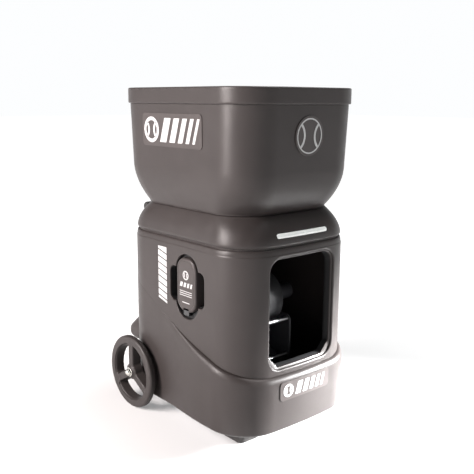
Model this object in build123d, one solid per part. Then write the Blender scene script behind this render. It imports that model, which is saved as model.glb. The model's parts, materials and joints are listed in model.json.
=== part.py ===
from build123d import *
import os
from math import acos, cos, pi, radians, sin, tan

# Tennis ball machine: a moulded body on two wheels and two feet, a lift-off ball hopper,
# a ball feeder, and a launch head with two throw wheels that pans and tilts behind a window.
# Millimetres. +Z is up and the window faces -Y. The sub-parts are built about the body's
# own centre line, and ROW_Y then moves them so that the origin is the centre of the footprint.

# ---- driving dimensions ---------------------------------------------------------------
WALL = 4.0
GAP = 0.3

BODY_HALF_W, BODY_HALF_D = 187.0, 231.0
BODY_CORNER, BODY_BOW = 96.0, 12.0
BODY_BOTTOM, BODY_TOP = 36.0, 470.0

BASE_STEP = 11.0                  # how far the lower body stands proud at the front
BASE_EDGE = 9.0                   # rounding of the lower edge
FADE_REAR, FADE_FRONT = 66.0, -110.0
SWEEP_LINE = ((240, 372), (95, 300), (-12, 248), (-89, 220), (-151, 202), (-270, 165))

COVER_BOTTOM, COVER_TOP = 473.0, 540.0
COVER_FOOT = (184.5, 228.5)
COVER_NECK = (160.0, 196.0)
COVER_CORNER = 92.0

HOPPER_BOTTOM, HOPPER_CURVE_TOP, HOPPER_LIP, HOPPER_TOP = 540.3, 642.0, 783.0, 820.0
HOPPER_FOOT = (161.0, 197.0)
HOPPER_WAIST = (182.5, 241.0)
HOPPER_SHOULDER = (185.0, 247.0)
HOPPER_CORNER, HOPPER_LIP_STEP, HOPPER_WALL = 90.0, 5.0, 3.5

LIGHT_W, LIGHT_H, LIGHT_Z = 164.0, 13.0, 497.5

WINDOW_HALF_W, WINDOW_LOW, WINDOW_HIGH, WINDOW_CORNER = 104.0, 188.0, 450.0, 35.0
BEZEL = 7.0

WHEEL_R, WHEEL_Y, WHEEL_IN, WHEEL_OUT = 95.0, 167.6, 190.0, 215.0
AXLE_R, RUNNING = 6.0, 0.06

PACK_Y, PACK_W = -42.5, 73.0
PACK_LOW, PACK_HIGH, PACK_IN = 301.0, 431.0, 112.0
DOCK_Y, DOCK_W, DOCK_LOW, DOCK_HIGH = -44.0, 86.0, 284.0, 440.0
FINGER_Y, FINGER_W, FINGER_LOW, FINGER_HIGH = -43.5, 131.0, 320.0, 405.0

HEAD_Y, NIP_Z = -88.0, 222.0
THROW_R, THROW_W, THROW_RISE, THROW_HUB_R = 65.0, 50.0, 93.0, 46.0
THROW_SHAFT_R = 5.0
PLATE_IN, PLATE_T = 37.0, 4.0
YOKE_IN, YOKE_T = 44.0, 6.0
TRUNNION_R = 8.0
MOTOR_R, MOTOR_L = 20.0, 60.0

TILT_MODULE, TILT_TEETH, TILT_PINION_TEETH = 1.5, 64, 16
PAN_MODULE, PAN_TEETH, PAN_PINION_TEETH = 2.5, 72, 14
TURNTABLE_Z, TURNTABLE_TOP = 54.3, 60.0
CHASSIS_Z, CHASSIS_TOP = 46.0, 50.0

FEEDER_R, POCKET_R, POCKET_RING, POCKETS = 144.0, 37.0, 108.0, 6
WELL_R, WELL_TOP, DECK_FLOOR = 147.0, 508.0, 484.0
CHUTE_R, CHUTE_WALL = 37.0, 2.5
ELBOW_BEND, ELBOW_Y = 60.0, 10.0

HANDLE_X, HANDLE_Y = 80.0, 265.0
SLEEVE_R, TUBE_R, GRIP_R, GRIP_Z = 10.0, 8.0, 12.0, 508.0

PANEL_Y, PANEL_T = 231.2, 3.0
PANEL_HALF_W, PANEL_LOW, PANEL_HIGH = 60.0, 262.0, 432.0
BUTTON_R, BUTTON_Z = 7.0, 345.0
SWITCH_X, SWITCH_Z = -28.0, 296.0
PORT_X, PORT_Z = 28.0, 292.0

FRONT_REACH = BODY_HALF_D + BASE_STEP + BODY_BOW + 1.6
REAR_REACH = HANDLE_Y + GRIP_R
ROW_Y = (FRONT_REACH - REAR_REACH) / 2


# ---- helpers --------------------------------------------------------------------------
def block(x0, x1, y0, y1, z0, z1):
    centre = Pos((x0 + x1) / 2, (y0 + y1) / 2, (z0 + z1) / 2)
    return centre * Box(x1 - x0, y1 - y0, z1 - z0)


def rod_x(x0, x1, y, z, r):
    return Pos((x0 + x1) / 2, y, z) * Rot(0, 90, 0) * Cylinder(r, x1 - x0)


def rod_y(y0, y1, x, z, r):
    return Pos(x, (y0 + y1) / 2, z) * Rot(90, 0, 0) * Cylinder(r, y1 - y0)


def rod_z(z0, z1, x, y, r):
    return Pos(x, y, (z0 + z1) / 2) * Cylinder(r, z1 - z0)


def prism_x(points, x0, x1):
    face = make_face(Polyline(*[(x0, y, z) for y, z in points], close=True))
    return extrude(face, amount=x1 - x0, dir=(1, 0, 0))


def slab_x(depth, height, radius, y, z, x0, x1):
    plane = Plane((x0, y, z), x_dir=(0, 1, 0), z_dir=(1, 0, 0))
    return extrude(plane * RectangleRounded(depth, height, radius), amount=x1 - x0, dir=(1, 0, 0))


def slab_y(width, height, radius, x, z, y0, y1):
    plane = Plane((x, y0, z), x_dir=(1, 0, 0), z_dir=(0, -1, 0))
    return extrude(plane * RectangleRounded(width, height, radius), amount=y1 - y0, dir=(0, 1, 0))


def upright(face, z0, z1):
    return extrude(Pos(0, 0, z0) * face, amount=z1 - z0, dir=(0, 0, 1))


def plan(half_w, half_d, corner, bow):
    """A rounded rectangle whose front edge bows out."""
    edges = [
        Line((half_w, half_d), (-half_w, half_d)),
        Line((-half_w, half_d), (-half_w, -half_d)),
        ThreePointArc((-half_w, -half_d), (0, -half_d - bow), (half_w, -half_d)),
        Line((half_w, -half_d), (half_w, half_d)),
    ]
    face = make_face(edges)
    return fillet(face.vertices(), corner)


def body_plan(grow):
    return plan(BODY_HALF_W + grow, BODY_HALF_D + grow, BODY_CORNER + grow, BODY_BOW)


def base_plan(grow):
    """The lower body's outline: wider at the front, and level with the body at the wheels."""
    rear_w = BODY_HALF_W + 0.4 + grow
    front_w = BODY_HALF_W + BASE_STEP + grow
    rear_d = BODY_HALF_D + grow
    front_d = BODY_HALF_D + BASE_STEP + grow
    left = [(-rear_w, rear_d), (-rear_w, FADE_REAR), (-front_w, FADE_FRONT), (-front_w, -front_d)]
    right = [(-x, y) for x, y in reversed(left)]
    edges = [Line(a, b) for a, b in zip(left, left[1:])]
    edges.append(ThreePointArc(left[-1], (0, -front_d - BODY_BOW), right[0]))
    edges += [Line(a, b) for a, b in zip(right, right[1:])]
    edges.append(Line(right[-1], left[0]))
    face = make_face(edges)
    ends = [v for v in face.vertices() if abs(v.Y) > BODY_HALF_D / 2 + 60]
    face = fillet(ends, BODY_CORNER + grow)
    sides = [v for v in face.vertices() if min(abs(v.Y - FADE_REAR), abs(v.Y - FADE_FRONT)) < 0.5]
    return fillet(sides, 400)


def below_sweep(lift):
    """Everything under the rising line that the lower body ends in."""
    line = Spline(*[(-300, y, z + lift) for y, z in SWEEP_LINE])
    front_top = line.position_at(1)
    rear_top = line.position_at(0)
    floor = Polyline(front_top, (-300, front_top.Y, 0), (-300, rear_top.Y, 0), rear_top)
    return extrude(make_face([line, floor]), amount=600, dir=(1, 0, 0))


def involute(angle):
    return tan(angle) - angle


def gear_face(teeth, module, slack):
    """A spur gear's outline with its first tooth on the local X axis."""
    pitch_r = teeth * module / 2
    base_r = pitch_r * cos(radians(20))
    root_r = pitch_r - 1.25 * module
    half_pitch_tooth = (pi * module / 2 - slack) / (2 * pitch_r)

    def half_tooth(r):
        angle = acos(min(1.0, base_r / max(r, base_r)))
        return half_pitch_tooth + involute(radians(20)) - involute(angle)

    def at(r, angle):
        return r * cos(angle), r * sin(angle)

    tips = [pitch_r, pitch_r + 0.5 * module, pitch_r + 0.95 * module]
    radii = [root_r, max(base_r, root_r + 0.2)] + tips
    points = []
    for tooth in range(teeth):
        middle = 2 * pi * tooth / teeth
        points += [at(r, middle - half_tooth(r)) for r in radii]
        points += [at(r, middle + half_tooth(r)) for r in reversed(radii)]
    return make_face(Polyline(*points, close=True))


# ---- body -----------------------------------------------------------------------------
def body_shell():
    outer = upright(body_plan(0), BODY_BOTTOM + 60, BODY_TOP)
    base = upright(base_plan(0), BODY_BOTTOM, 400)
    low_edges = base.edges().filter_by(lambda e: abs(e.center().Z - BODY_BOTTOM) < 0.01)
    base = fillet(low_edges, BASE_EDGE)
    outer += base & below_sweep(0)
    hollow = upright(body_plan(-WALL), BODY_BOTTOM + 60, BODY_TOP + 1)
    hollow += upright(base_plan(-WALL), CHASSIS_Z, 400) & below_sweep(-26)
    hollow += upright(base_plan(-WALL - BASE_EDGE), BODY_BOTTOM - 1, CHASSIS_Z + 1)
    shell = outer - hollow
    window_z = (WINDOW_LOW + WINDOW_HIGH) / 2
    window_h = WINDOW_HIGH - WINDOW_LOW
    shell -= slab_y(2 * WINDOW_HALF_W + 0.4, window_h + 0.4, WINDOW_CORNER, 0, window_z, -300, -180)
    shell -= dock_outline(0.4, -200, -170) + finger_outline(0.4, -200, -170)
    panel_h = PANEL_HIGH - PANEL_LOW
    panel_z = (PANEL_HIGH + PANEL_LOW) / 2
    shell -= slab_y(2 * PANEL_HALF_W - 10, panel_h - 10, 8, 0, panel_z, 200, 260)
    shell -= rod_x(-220, 220, WHEEL_Y, WHEEL_R, AXLE_R + 0.5)
    return shell


def dock_outline(grow, x0, x1):
    height = DOCK_HIGH - DOCK_LOW + 2 * grow
    middle = (DOCK_HIGH + DOCK_LOW) / 2
    return slab_x(DOCK_W + 2 * grow, height, DOCK_W / 2 - 1, DOCK_Y, middle, x0, x1)


def finger_outline(grow, x0, x1):
    height = FINGER_HIGH - FINGER_LOW + 2 * grow
    middle = (FINGER_HIGH + FINGER_LOW) / 2
    return slab_x(FINGER_W + 2 * grow, height, 16, FINGER_Y, middle, x0, x1)


def window_bezel():
    middle = (WINDOW_LOW + WINDOW_HIGH) / 2
    height = WINDOW_HIGH - WINDOW_LOW
    ring = slab_y(2 * WINDOW_HALF_W, height, WINDOW_CORNER, 0, middle, -260, -222)
    ring -= slab_y(
        2 * (WINDOW_HALF_W - BEZEL), height - 2 * BEZEL, WINDOW_CORNER - BEZEL, 0, middle, -270, -200
    )
    return ring & upright(body_plan(-1.5), WINDOW_LOW - 10, WINDOW_HIGH + 10)


def front_label_plate():
    plate = slab_y(162, 45, 9, 0, 138.5, -300, -200)
    skin = upright(base_plan(1.6), 100, 180) - upright(base_plan(0.1), 90, 190)
    return plate & skin


def stripe_decals():
    """Nine slanted bars on each side: one upright patch that thin gaps run across."""
    decal = Part()
    for side in (-1, 1):
        start = BODY_HALF_W + 0.05
        patch = prism_x([(35, 304.7), (70, 314.2), (70, 444), (35, 444)], side * start, side * (start + 0.5))
        for index in range(8):
            low = 310.7 + 16.4 * index
            gap = [(30, low - 1.4), (75, low + 10.8), (75, low + 13.9), (30, low + 1.7)]
            patch -= prism_x(gap, side * (start - 1), side * (start + 1))
        decal += patch
    return decal


def chassis_plate():
    plate = upright(base_plan(-WALL - 0.5), CHASSIS_Z, CHASSIS_TOP)
    return plate - rod_z(0, 80, 0, HEAD_Y, 12)


def front_feet():
    feet = Part()
    for side in (-1, 1):
        foot = block(side * 102.5 - 34.5, side * 102.5 + 34.5, -181, -108, 0, CHASSIS_Z)
        tall = foot.edges().filter_by(Axis.Z)
        foot = fillet(tall, 14)
        rim = foot.edges().filter_by(lambda e: abs(e.center().Z) < 0.01)
        foot = chamfer(rim, 3)
        feet += foot - rod_z(-1, 8, side * 102.5, -144.5, 8)
    return feet


def foot_screws():
    screws = Part()
    for side in (-1, 1):
        x = side * 102.5
        head = rod_z(2.5, 8, x, -144.5, 7) - rod_z(1, 4.5, x, -144.5, 3)
        screws += head
    return screws


def cover_section(z, grow):
    """The cover's outline at a height: it rounds over more and more towards the neck."""
    share = max(0.0, (z - COVER_BOTTOM) / (COVER_TOP - COVER_BOTTOM)) ** 2
    half_w = COVER_FOOT[0] + share * (COVER_NECK[0] - COVER_FOOT[0])
    half_d = COVER_FOOT[1] + share * (COVER_NECK[1] - COVER_FOOT[1])
    return Pos(0, 0, z) * plan(half_w + grow, half_d + grow, COVER_CORNER + grow, BODY_BOW)


def cover_solid(grow, low, high):
    levels = [low] + [z for z in (488, 501, 512, 522, 531) if low < z < high] + [high]
    return loft([cover_section(z, grow) for z in levels], ruled=True)


def top_cover():
    cover = cover_solid(0, COVER_BOTTOM, COVER_TOP) - cover_solid(-WALL, COVER_BOTTOM - 1, COVER_TOP - WALL)
    cover -= upright(plan(148, 184, 78, BODY_BOW), COVER_TOP - 20, COVER_TOP + 1)
    lap = upright(body_plan(-WALL - 0.4), BODY_TOP - 16, COVER_BOTTOM + 5)
    lap -= upright(body_plan(-WALL - 3.4), BODY_TOP - 17, COVER_BOTTOM + 6)
    cover += lap
    return cover - slab_y(LIGHT_W + 0.8, LIGHT_H + 0.8, LIGHT_H / 2, 0, LIGHT_Z, -300, -180)


def light_bar_lens():
    lens = slab_y(LIGHT_W, LIGHT_H, LIGHT_H / 2 - 0.4, 0, LIGHT_Z, -300, -180)
    skin = cover_solid(0.6, 480, 520) - cover_solid(-WALL, 474, 530)
    return lens & skin


def feeder_deck():
    """A dish that slopes down to the round well."""
    edge = upright(plan(152, 188, 82, BODY_BOW), DECK_FLOOR, COVER_TOP - WALL)
    rise, spread = 30.0, 105.0
    upper = Pos(0, 0, WELL_TOP + rise / 2) * Cone(WELL_R, WELL_R + spread, rise)
    lower = Pos(0, 0, -WALL) * upper
    lower += rod_z(WELL_TOP + rise - WALL - 0.01, COVER_TOP + 20, 0, 0, WELL_R + spread)
    rim = edge - upright(plan(149, 185, 79, BODY_BOW), DECK_FLOOR - 1, COVER_TOP)
    rim &= block(-300, 300, -300, 300, WELL_TOP - 3, COVER_TOP)
    deck = (edge & lower) - upper + rim
    return deck - rod_z(DECK_FLOOR, COVER_TOP, 0, 0, WELL_R)


def feeder_well():
    """A round tray under the dish, with one drop hole at the rear."""
    top = WELL_TOP - WALL - 0.1
    well = rod_z(DECK_FLOOR, top, 0, 0, WELL_R + WALL) - rod_z(DECK_FLOOR + WALL, top + 1, 0, 0, WELL_R)
    well -= rod_z(DECK_FLOOR - 1, DECK_FLOOR + WALL + 1, 0, POCKET_RING, CHUTE_R)
    return well - rod_z(DECK_FLOOR - 1, DECK_FLOOR + WALL + 1, 0, 0, 9)


# ---- feeder ---------------------------------------------------------------------------
def feeder_carousel():
    """A star wheel with open pockets and a domed hub, on its own shaft."""
    star = rod_z(DECK_FLOOR + WALL + 1, 520, 0, 0, FEEDER_R)
    for pocket in range(POCKETS):
        angle = radians(90 + 360 / POCKETS * pocket)
        x, y = POCKET_RING * cos(angle), POCKET_RING * sin(angle)
        star -= rod_z(470, 530, x, y, POCKET_R)
    dome = Pos(0, 0, 533) * Cone(62, 14, 26)
    shaft = rod_z(DECK_FLOOR - 12, DECK_FLOOR + WALL + 2, 0, 0, AXLE_R)
    return star + dome + shaft


def feeder_gearmotor():
    box = block(-30, 30, -42, 30, DECK_FLOOR - 22, DECK_FLOOR)
    box = fillet(box.edges().filter_by(Axis.Z), 8)
    box -= rod_z(DECK_FLOOR - 14, DECK_FLOOR + 1, 0, 0, AXLE_R + RUNNING)
    motor = rod_z(DECK_FLOOR - 70, DECK_FLOOR - 22, 0, -16, 18)
    motor += rod_z(DECK_FLOOR - 74, DECK_FLOOR - 70, 0, -16, 7)
    return box + motor


def drop_chute():
    """The fixed tube from the drop hole to just above the launch head's funnel."""
    top, bottom = (0, POCKET_RING, DECK_FLOOR), (0, 84, 335)
    line = Line(top, bottom)
    section = Plane(origin=top, z_dir=line % 0)
    tube = sweep(section * Circle(CHUTE_R + CHUTE_WALL), path=line)
    tube -= sweep(section * Circle(CHUTE_R), path=line)
    flange = rod_z(DECK_FLOOR - 3, DECK_FLOOR, 0, POCKET_RING, CHUTE_R + 12)
    flange &= block(-80, 80, 60, 300, 0, 600)
    bore = rod_z(DECK_FLOOR - 12, DECK_FLOOR + 1, 0, POCKET_RING - 0.8, CHUTE_R - 0.2)
    tube &= block(-80, 80, 0, 300, 340, DECK_FLOOR)
    return tube + flange - bore


# ---- launch head ----------------------------------------------------------------------
def turntable():
    ring = upright(Pos(0, HEAD_Y) * gear_face(PAN_TEETH, PAN_MODULE, 0.35), TURNTABLE_Z, TURNTABLE_TOP)
    stub = rod_z(CHASSIS_Z, TURNTABLE_Z, 0, HEAD_Y, TRUNNION_R)
    return Pos(0, HEAD_Y) * Rot(0, 0, 180) * Pos(0, -HEAD_Y) * ring + stub


def pan_bearing():
    ring = rod_z(CHASSIS_TOP, TURNTABLE_Z - 0.1, 0, HEAD_Y, 34)
    return ring - rod_z(0, 80, 0, HEAD_Y, TRUNNION_R + RUNNING)


def pan_distance():
    return PAN_MODULE * (PAN_TEETH + PAN_PINION_TEETH) / 2


def pan_pinion():
    x = -pan_distance()
    gear = upright(gear_face(PAN_PINION_TEETH, PAN_MODULE, 0.35), TURNTABLE_Z, TURNTABLE_TOP)
    gear = Pos(x, HEAD_Y) * Rot(0, 0, 180 / PAN_PINION_TEETH) * gear
    return gear + rod_z(TURNTABLE_TOP, 82, x, HEAD_Y, 4)


def pan_motor():
    """A pancake gearmotor on its own bridge over the pinion."""
    x = -pan_distance()
    bridge = block(x - 32, x + 22, HEAD_Y - 26, HEAD_Y + 26, 61.5, 65)
    for y in (HEAD_Y - 26, HEAD_Y + 20):
        bridge += block(x - 32, x - 24, y, y + 6, CHASSIS_TOP, 61.5)
    motor = rod_z(65, 92, x, HEAD_Y, 24) + rod_z(92, 120, x, HEAD_Y, 17)
    return bridge + motor - rod_z(50, 83, x, HEAD_Y, 4 + RUNNING)


def yoke(side):
    """An upright that rises behind the lower wheel motor and reaches forward to the pivot."""
    outline = [
        (-60, TURNTABLE_TOP), (-20, TURNTABLE_TOP), (-20, 214), (-44, 240),
        (HEAD_Y - 6, 242), (HEAD_Y - 20, 228), (HEAD_Y - 18, 206), (-72, 186), (-60, 166),
    ]
    x0, x1 = sorted((side * YOKE_IN, side * (YOKE_IN + YOKE_T)))
    plate = prism_x(outline, x0, x1)
    foot = block(*sorted((side * YOKE_IN, side * (YOKE_IN + 16))), -60, -30, TURNTABLE_TOP, TURNTABLE_TOP + 5)
    return plate + foot - rod_x(-80, 80, HEAD_Y, NIP_Z, TRUNNION_R + RUNNING)


def tilt_pinion_centre():
    reach = TILT_MODULE * (TILT_TEETH + TILT_PINION_TEETH) / 2
    return HEAD_Y + reach * cos(radians(45)), NIP_Z - reach * sin(radians(45))


def gear_x(teeth, module, turn, y, z, x0, x1):
    plane = Plane((x0, y, z), x_dir=(0, 1, 0), z_dir=(1, 0, 0))
    face = plane * (Rot(0, 0, turn) * gear_face(teeth, module, 0.3))
    return extrude(face, amount=x1 - x0, dir=(1, 0, 0))


def tilt_gear():
    gear = gear_x(TILT_TEETH, TILT_MODULE, -45, HEAD_Y, NIP_Z, -61, -53)
    for turn in range(6):
        angle = radians(60 * turn)
        gear -= rod_x(-70, -40, HEAD_Y + 29 * cos(angle), NIP_Z + 29 * sin(angle), 9)
    return gear - rod_x(-70, -40, HEAD_Y, NIP_Z, TRUNNION_R)


def tilt_pinion():
    y, z = tilt_pinion_centre()
    turn = 135 + 180 / TILT_PINION_TEETH
    gear = gear_x(TILT_PINION_TEETH, TILT_MODULE, turn, y, z, -61, -53)
    return gear + rod_x(-80, -61, y, z, 3)


def tilt_motor():
    """A gearmotor outboard of the pinion, on two posts from the left upright."""
    y, z = tilt_pinion_centre()
    plate = block(-66, -63, y - 18, -18, z - 34, z + 30)
    plate += rod_x(-66, -YOKE_IN - YOKE_T, -25, z - 28, 4)
    plate += rod_x(-66, -YOKE_IN - YOKE_T, -25, z + 24, 4)
    motor = rod_x(-84, -66, y, z, 17) + rod_x(-108, -84, y, z, 13)
    return plate + motor - rod_x(-81, -60, y, z, 3 + RUNNING)


def head_plate(side):
    x0, x1 = sorted((side * PLATE_IN, side * (PLATE_IN + PLATE_T)))
    plate = slab_x(56, 2 * THROW_RISE + 56, 27, HEAD_Y, NIP_Z, x0, x1)
    plate += slab_x(144, 112, 14, -90, NIP_Z, x0, x1)
    plate -= rod_x(x0 - 1, x1 + 1, HEAD_Y, NIP_Z, TRUNNION_R - 3)
    for rise in (-THROW_RISE, THROW_RISE):
        plate -= rod_x(x0 - 1, x1 + 1, HEAD_Y, NIP_Z + rise, THROW_SHAFT_R + RUNNING)
    return plate


def head_spacers():
    spacers = Part()
    for y in (-152, -28):
        for z in (NIP_Z - 46, NIP_Z + 46):
            spacers += rod_x(-PLATE_IN, PLATE_IN, y, z, 5)
    return spacers


def trunnions():
    left = rod_x(-64, -PLATE_IN - PLATE_T, HEAD_Y, NIP_Z, TRUNNION_R)
    right = rod_x(PLATE_IN + PLATE_T, 56, HEAD_Y, NIP_Z, TRUNNION_R)
    left += rod_x(-43.5, -PLATE_IN - PLATE_T, HEAD_Y, NIP_Z, 14)
    right += rod_x(PLATE_IN + PLATE_T, 43.5, HEAD_Y, NIP_Z, 14)
    return left + right


def wheel_motors():
    motors = Part()
    start = PLATE_IN + PLATE_T
    for rise in (-THROW_RISE, THROW_RISE):
        z = NIP_Z + rise
        can = rod_x(start, start + MOTOR_L, HEAD_Y, z, MOTOR_R)
        can += rod_x(start + MOTOR_L, start + MOTOR_L + 5, HEAD_Y, z, 9)
        motors += can - rod_x(start - 1, start + 40, HEAD_Y, z, THROW_SHAFT_R + RUNNING)
    return motors


def throw_hub(rise):
    """A spool-shaped hub on the motor's shaft."""
    z = NIP_Z + rise
    hub = rod_x(-THROW_W / 2 + 2, THROW_W / 2 - 2, HEAD_Y, z, THROW_HUB_R)
    for side in (-1, 1):
        start = side * (THROW_W / 2 - 10)
        end = side * THROW_W / 2
        dish = rod_x(*sorted((start, end)), HEAD_Y, z, THROW_HUB_R - 6)
        hub -= dish - rod_x(-30, 30, HEAD_Y, z, 14)
    return hub + rod_x(-PLATE_IN - PLATE_T - 2, PLATE_IN + PLATE_T + 38, HEAD_Y, z, THROW_SHAFT_R)


def throw_tread(rise):
    z = NIP_Z + rise
    tread = rod_x(-THROW_W / 2, THROW_W / 2, HEAD_Y, z, THROW_R)
    tread = fillet(tread.edges(), 5)
    return tread - rod_x(-THROW_W, THROW_W, HEAD_Y, z, THROW_HUB_R)


def breech_elbow():
    """The guide behind the throw wheels: a flange, an elbow and a wide catch funnel."""
    path_start = (0, -14, NIP_Z)
    path = Line(path_start, (0, ELBOW_Y, NIP_Z))
    bend_mid = sin(radians(45)) * ELBOW_BEND
    top = (0, ELBOW_Y + ELBOW_BEND, NIP_Z + ELBOW_BEND)
    middle = (0, ELBOW_Y + bend_mid, NIP_Z + ELBOW_BEND - bend_mid)
    path += ThreePointArc((0, ELBOW_Y, NIP_Z), middle, top)
    section = Plane(origin=path_start, z_dir=(0, 1, 0))
    outer = sweep(section * Circle(CHUTE_R + CHUTE_WALL), path=path)
    inner = sweep(section * Circle(CHUTE_R), path=path)
    flange = block(-41, 41, -18, -14, NIP_Z - 56, NIP_Z + 56) - rod_y(-20, 0, 0, NIP_Z, CHUTE_R)
    return outer - inner + flange + catch_funnel(top)


def catch_funnel(top):
    x, y, z = top

    def frustum(grow, low, high):
        neck = RectangleRounded(2 * (CHUTE_R + grow), 2 * (CHUTE_R + grow), CHUTE_R + grow - 0.5)
        mouth = RectangleRounded(150 + 2 * grow, 110 + 2 * grow, 40)
        return loft([Pos(x, y, low) * neck, Pos(x, y, high) * mouth], ruled=True)

    return frustum(CHUTE_WALL, z, z + 40) - frustum(0, z - 0.01, z + 40.01)


# ---- battery --------------------------------------------------------------------------
def battery_bay():
    """The socket behind the left wall: a shallow dock, finger space and a deep pack cavity."""
    bay = block(-BODY_HALF_W + WALL + 0.2, -PACK_IN + 5, -114, 27, DOCK_LOW - 6, DOCK_HIGH + 6)
    bay -= dock_outline(0, -200, -176)
    bay -= finger_outline(0, -200, -162)
    bay -= pack_outline(0.8, -200, -PACK_IN + 1)
    bay -= block(-200, -176, PACK_Y - 14, PACK_Y + 14, DOCK_LOW + 2, PACK_LOW + 4)
    contacts = Part()
    for index in range(4):
        z = 340 + 16 * index
        contacts += block(-PACK_IN, -PACK_IN + 1, PACK_Y - 12, PACK_Y + 12, z, z + 6)
    return bay + contacts


def pack_outline(grow, x0, x1):
    height = PACK_HIGH - PACK_LOW + 2 * grow
    middle = (PACK_HIGH + PACK_LOW) / 2
    return slab_x(PACK_W + 2 * grow, height, 30, PACK_Y, middle, x0, x1)


def battery_pack():
    face = -BODY_HALF_W - 1.5
    pack = pack_outline(0, face, -PACK_IN - 0.3)
    outer_edges = pack.edges().filter_by(lambda e: abs(e.center().X - face) < 0.01)
    pack = fillet(outer_edges, 5)
    pack -= block(face - 1, face + 12, PACK_Y - 10.4, PACK_Y + 10.4, PACK_LOW - 1, PACK_LOW + 9)
    return pack


def battery_latch():
    face = -BODY_HALF_W - 0.5
    latch = block(face, face + 10, PACK_Y - 10, PACK_Y + 10, PACK_LOW - 8, PACK_LOW + 4)
    return fillet(latch.edges().filter_by(Axis.X), 2)


# ---- running gear ---------------------------------------------------------------------
def road_wheel(side):
    """A deep three-spoked moulded wheel, one spoke upright."""
    inner, outer = side * WHEEL_IN, side * WHEEL_OUT
    wheel = rod_x(*sorted((inner, outer)), WHEEL_Y, WHEEL_R, WHEEL_R)
    wheel = fillet(wheel.edges(), 7)
    for index in range(3):
        wheel -= spoke_window(90 + 60 + 120 * index, side)
    hub = rod_x(*sorted((side * (WHEEL_IN - 1.5), side * (WHEEL_OUT + 1.5))), WHEEL_Y, WHEEL_R, 15)
    wheel += hub
    return wheel - rod_x(-240, 240, WHEEL_Y, WHEEL_R, AXLE_R + RUNNING)


def spoke_window(middle_deg, side):
    """One opening between two spokes, with rounded corners."""
    low_r, high_r, half_spoke, reach = 21.0, 73.0, 10.0, 200.0
    start = Plane((side * 180, WHEEL_Y, WHEEL_R), x_dir=(0, 1, 0), z_dir=(1, 0, 0))
    ring = Circle(high_r) - Circle(low_r)
    spread = reach * tan(radians(60))
    sector = make_face(Polyline((0, 0), (reach, -spread), (reach, spread), close=True))
    cut = Pos(half_spoke / sin(radians(60)), 0) * sector
    face = Rot(0, 0, middle_deg) * (ring & cut)
    face = fillet(face.vertices(), 5)
    return extrude(start * face, amount=side * 50, dir=(1, 0, 0))


def axle():
    return rod_x(-WHEEL_OUT - 3, WHEEL_OUT + 3, WHEEL_Y, WHEEL_R, AXLE_R)


def axle_brackets():
    brackets = Part()
    for side in (-1, 1):
        x0, x1 = sorted((side * 150, side * 156))
        outline = [(130, CHASSIS_TOP), (194, CHASSIS_TOP), (184, 112), (150, 112)]
        brackets += prism_x(outline, x0, x1)
    return brackets - rod_x(-220, 220, WHEEL_Y, WHEEL_R, AXLE_R)


def axle_cap_nuts():
    nuts = Part()
    for side in (-1, 1):
        start = WHEEL_OUT + 1.8
        nut = rod_x(*sorted((side * start, side * (start + 11))), WHEEL_Y, WHEEL_R, 10)
        nut = fillet(nut.edges().filter_by(lambda e: abs(abs(e.center().X) - start - 11) < 0.01), 5)
        nuts += nut - rod_x(-WHEEL_OUT - 3, WHEEL_OUT + 3, WHEEL_Y, WHEEL_R, AXLE_R)
    return nuts


def rear_bumper():
    """A ledge across the rear whose ends wrap the body's corners above the wheels."""
    outline = [(150, 240), (214, 240), (218, 217), (247, 190), (252, 176), (248, 167), (150, 165)]
    bar = prism_x(outline, -168, 168)
    bar &= upright(Pos(0, 152) * RectangleRounded(336, 200, 24), 100, 300)
    bar &= block(-200, 200, 168, 300, 100, 300)
    return bar - upright(base_plan(0.1), 90, 300)


# ---- rear panel -----------------------------------------------------------------------
def rear_panel():
    middle = (PANEL_LOW + PANEL_HIGH) / 2
    height = PANEL_HIGH - PANEL_LOW
    panel = slab_y(2 * PANEL_HALF_W, height, 12, 0, middle, PANEL_Y, PANEL_Y + PANEL_T)
    panel -= slab_y(78, 34, 4, 0, 400, 200, 260)
    for x in (-32, 0, 32):
        panel -= rod_y(200, 260, x, BUTTON_Z, BUTTON_R + GAP)
    panel -= block(SWITCH_X - 10, SWITCH_X + 10, 200, 260, SWITCH_Z - 15, SWITCH_Z + 15)
    return panel - rod_y(200, 260, PORT_X, PORT_Z, 9)


def panel_display():
    return slab_y(77, 33, 3.5, 0, 400, PANEL_Y - 5, PANEL_Y + PANEL_T - 0.8)


def panel_button(x):
    button = rod_y(PANEL_Y - 3, PANEL_Y + PANEL_T + 2.5, x, BUTTON_Z, BUTTON_R)
    rim = button.edges().filter_by(lambda e: e.center().Y > PANEL_Y + 4)
    return fillet(rim, 1.2)


def power_switch_frame():
    def around_switch(half_w, half_h, y0, y1):
        return block(SWITCH_X - half_w, SWITCH_X + half_w, y0, y1, SWITCH_Z - half_h, SWITCH_Z + half_h)

    front = PANEL_Y + PANEL_T
    frame = slab_y(26, 36, 3, SWITCH_X, SWITCH_Z, front, front + 2)
    frame += around_switch(9.9, 14.9, PANEL_Y - 14, front)
    return frame - around_switch(8.6, 13.6, PANEL_Y - 11, 260)


def power_rocker():
    """A two-sided rocker resting with its lower half pressed in."""
    pivot_y = PANEL_Y - 2
    y_top = PANEL_Y + PANEL_T + 4
    outline = [
        (pivot_y - 6, SWITCH_Z - 4), (y_top, SWITCH_Z - 12.4), (y_top - 2, SWITCH_Z),
        (y_top, SWITCH_Z + 12.4), (pivot_y - 6, SWITCH_Z + 4),
    ]
    rocker = prism_x(outline, SWITCH_X - 8.2, SWITCH_X + 8.2)
    pivot = Axis((SWITCH_X, pivot_y, SWITCH_Z), (1, 0, 0))
    return rocker.rotate(pivot, 6)


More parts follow.
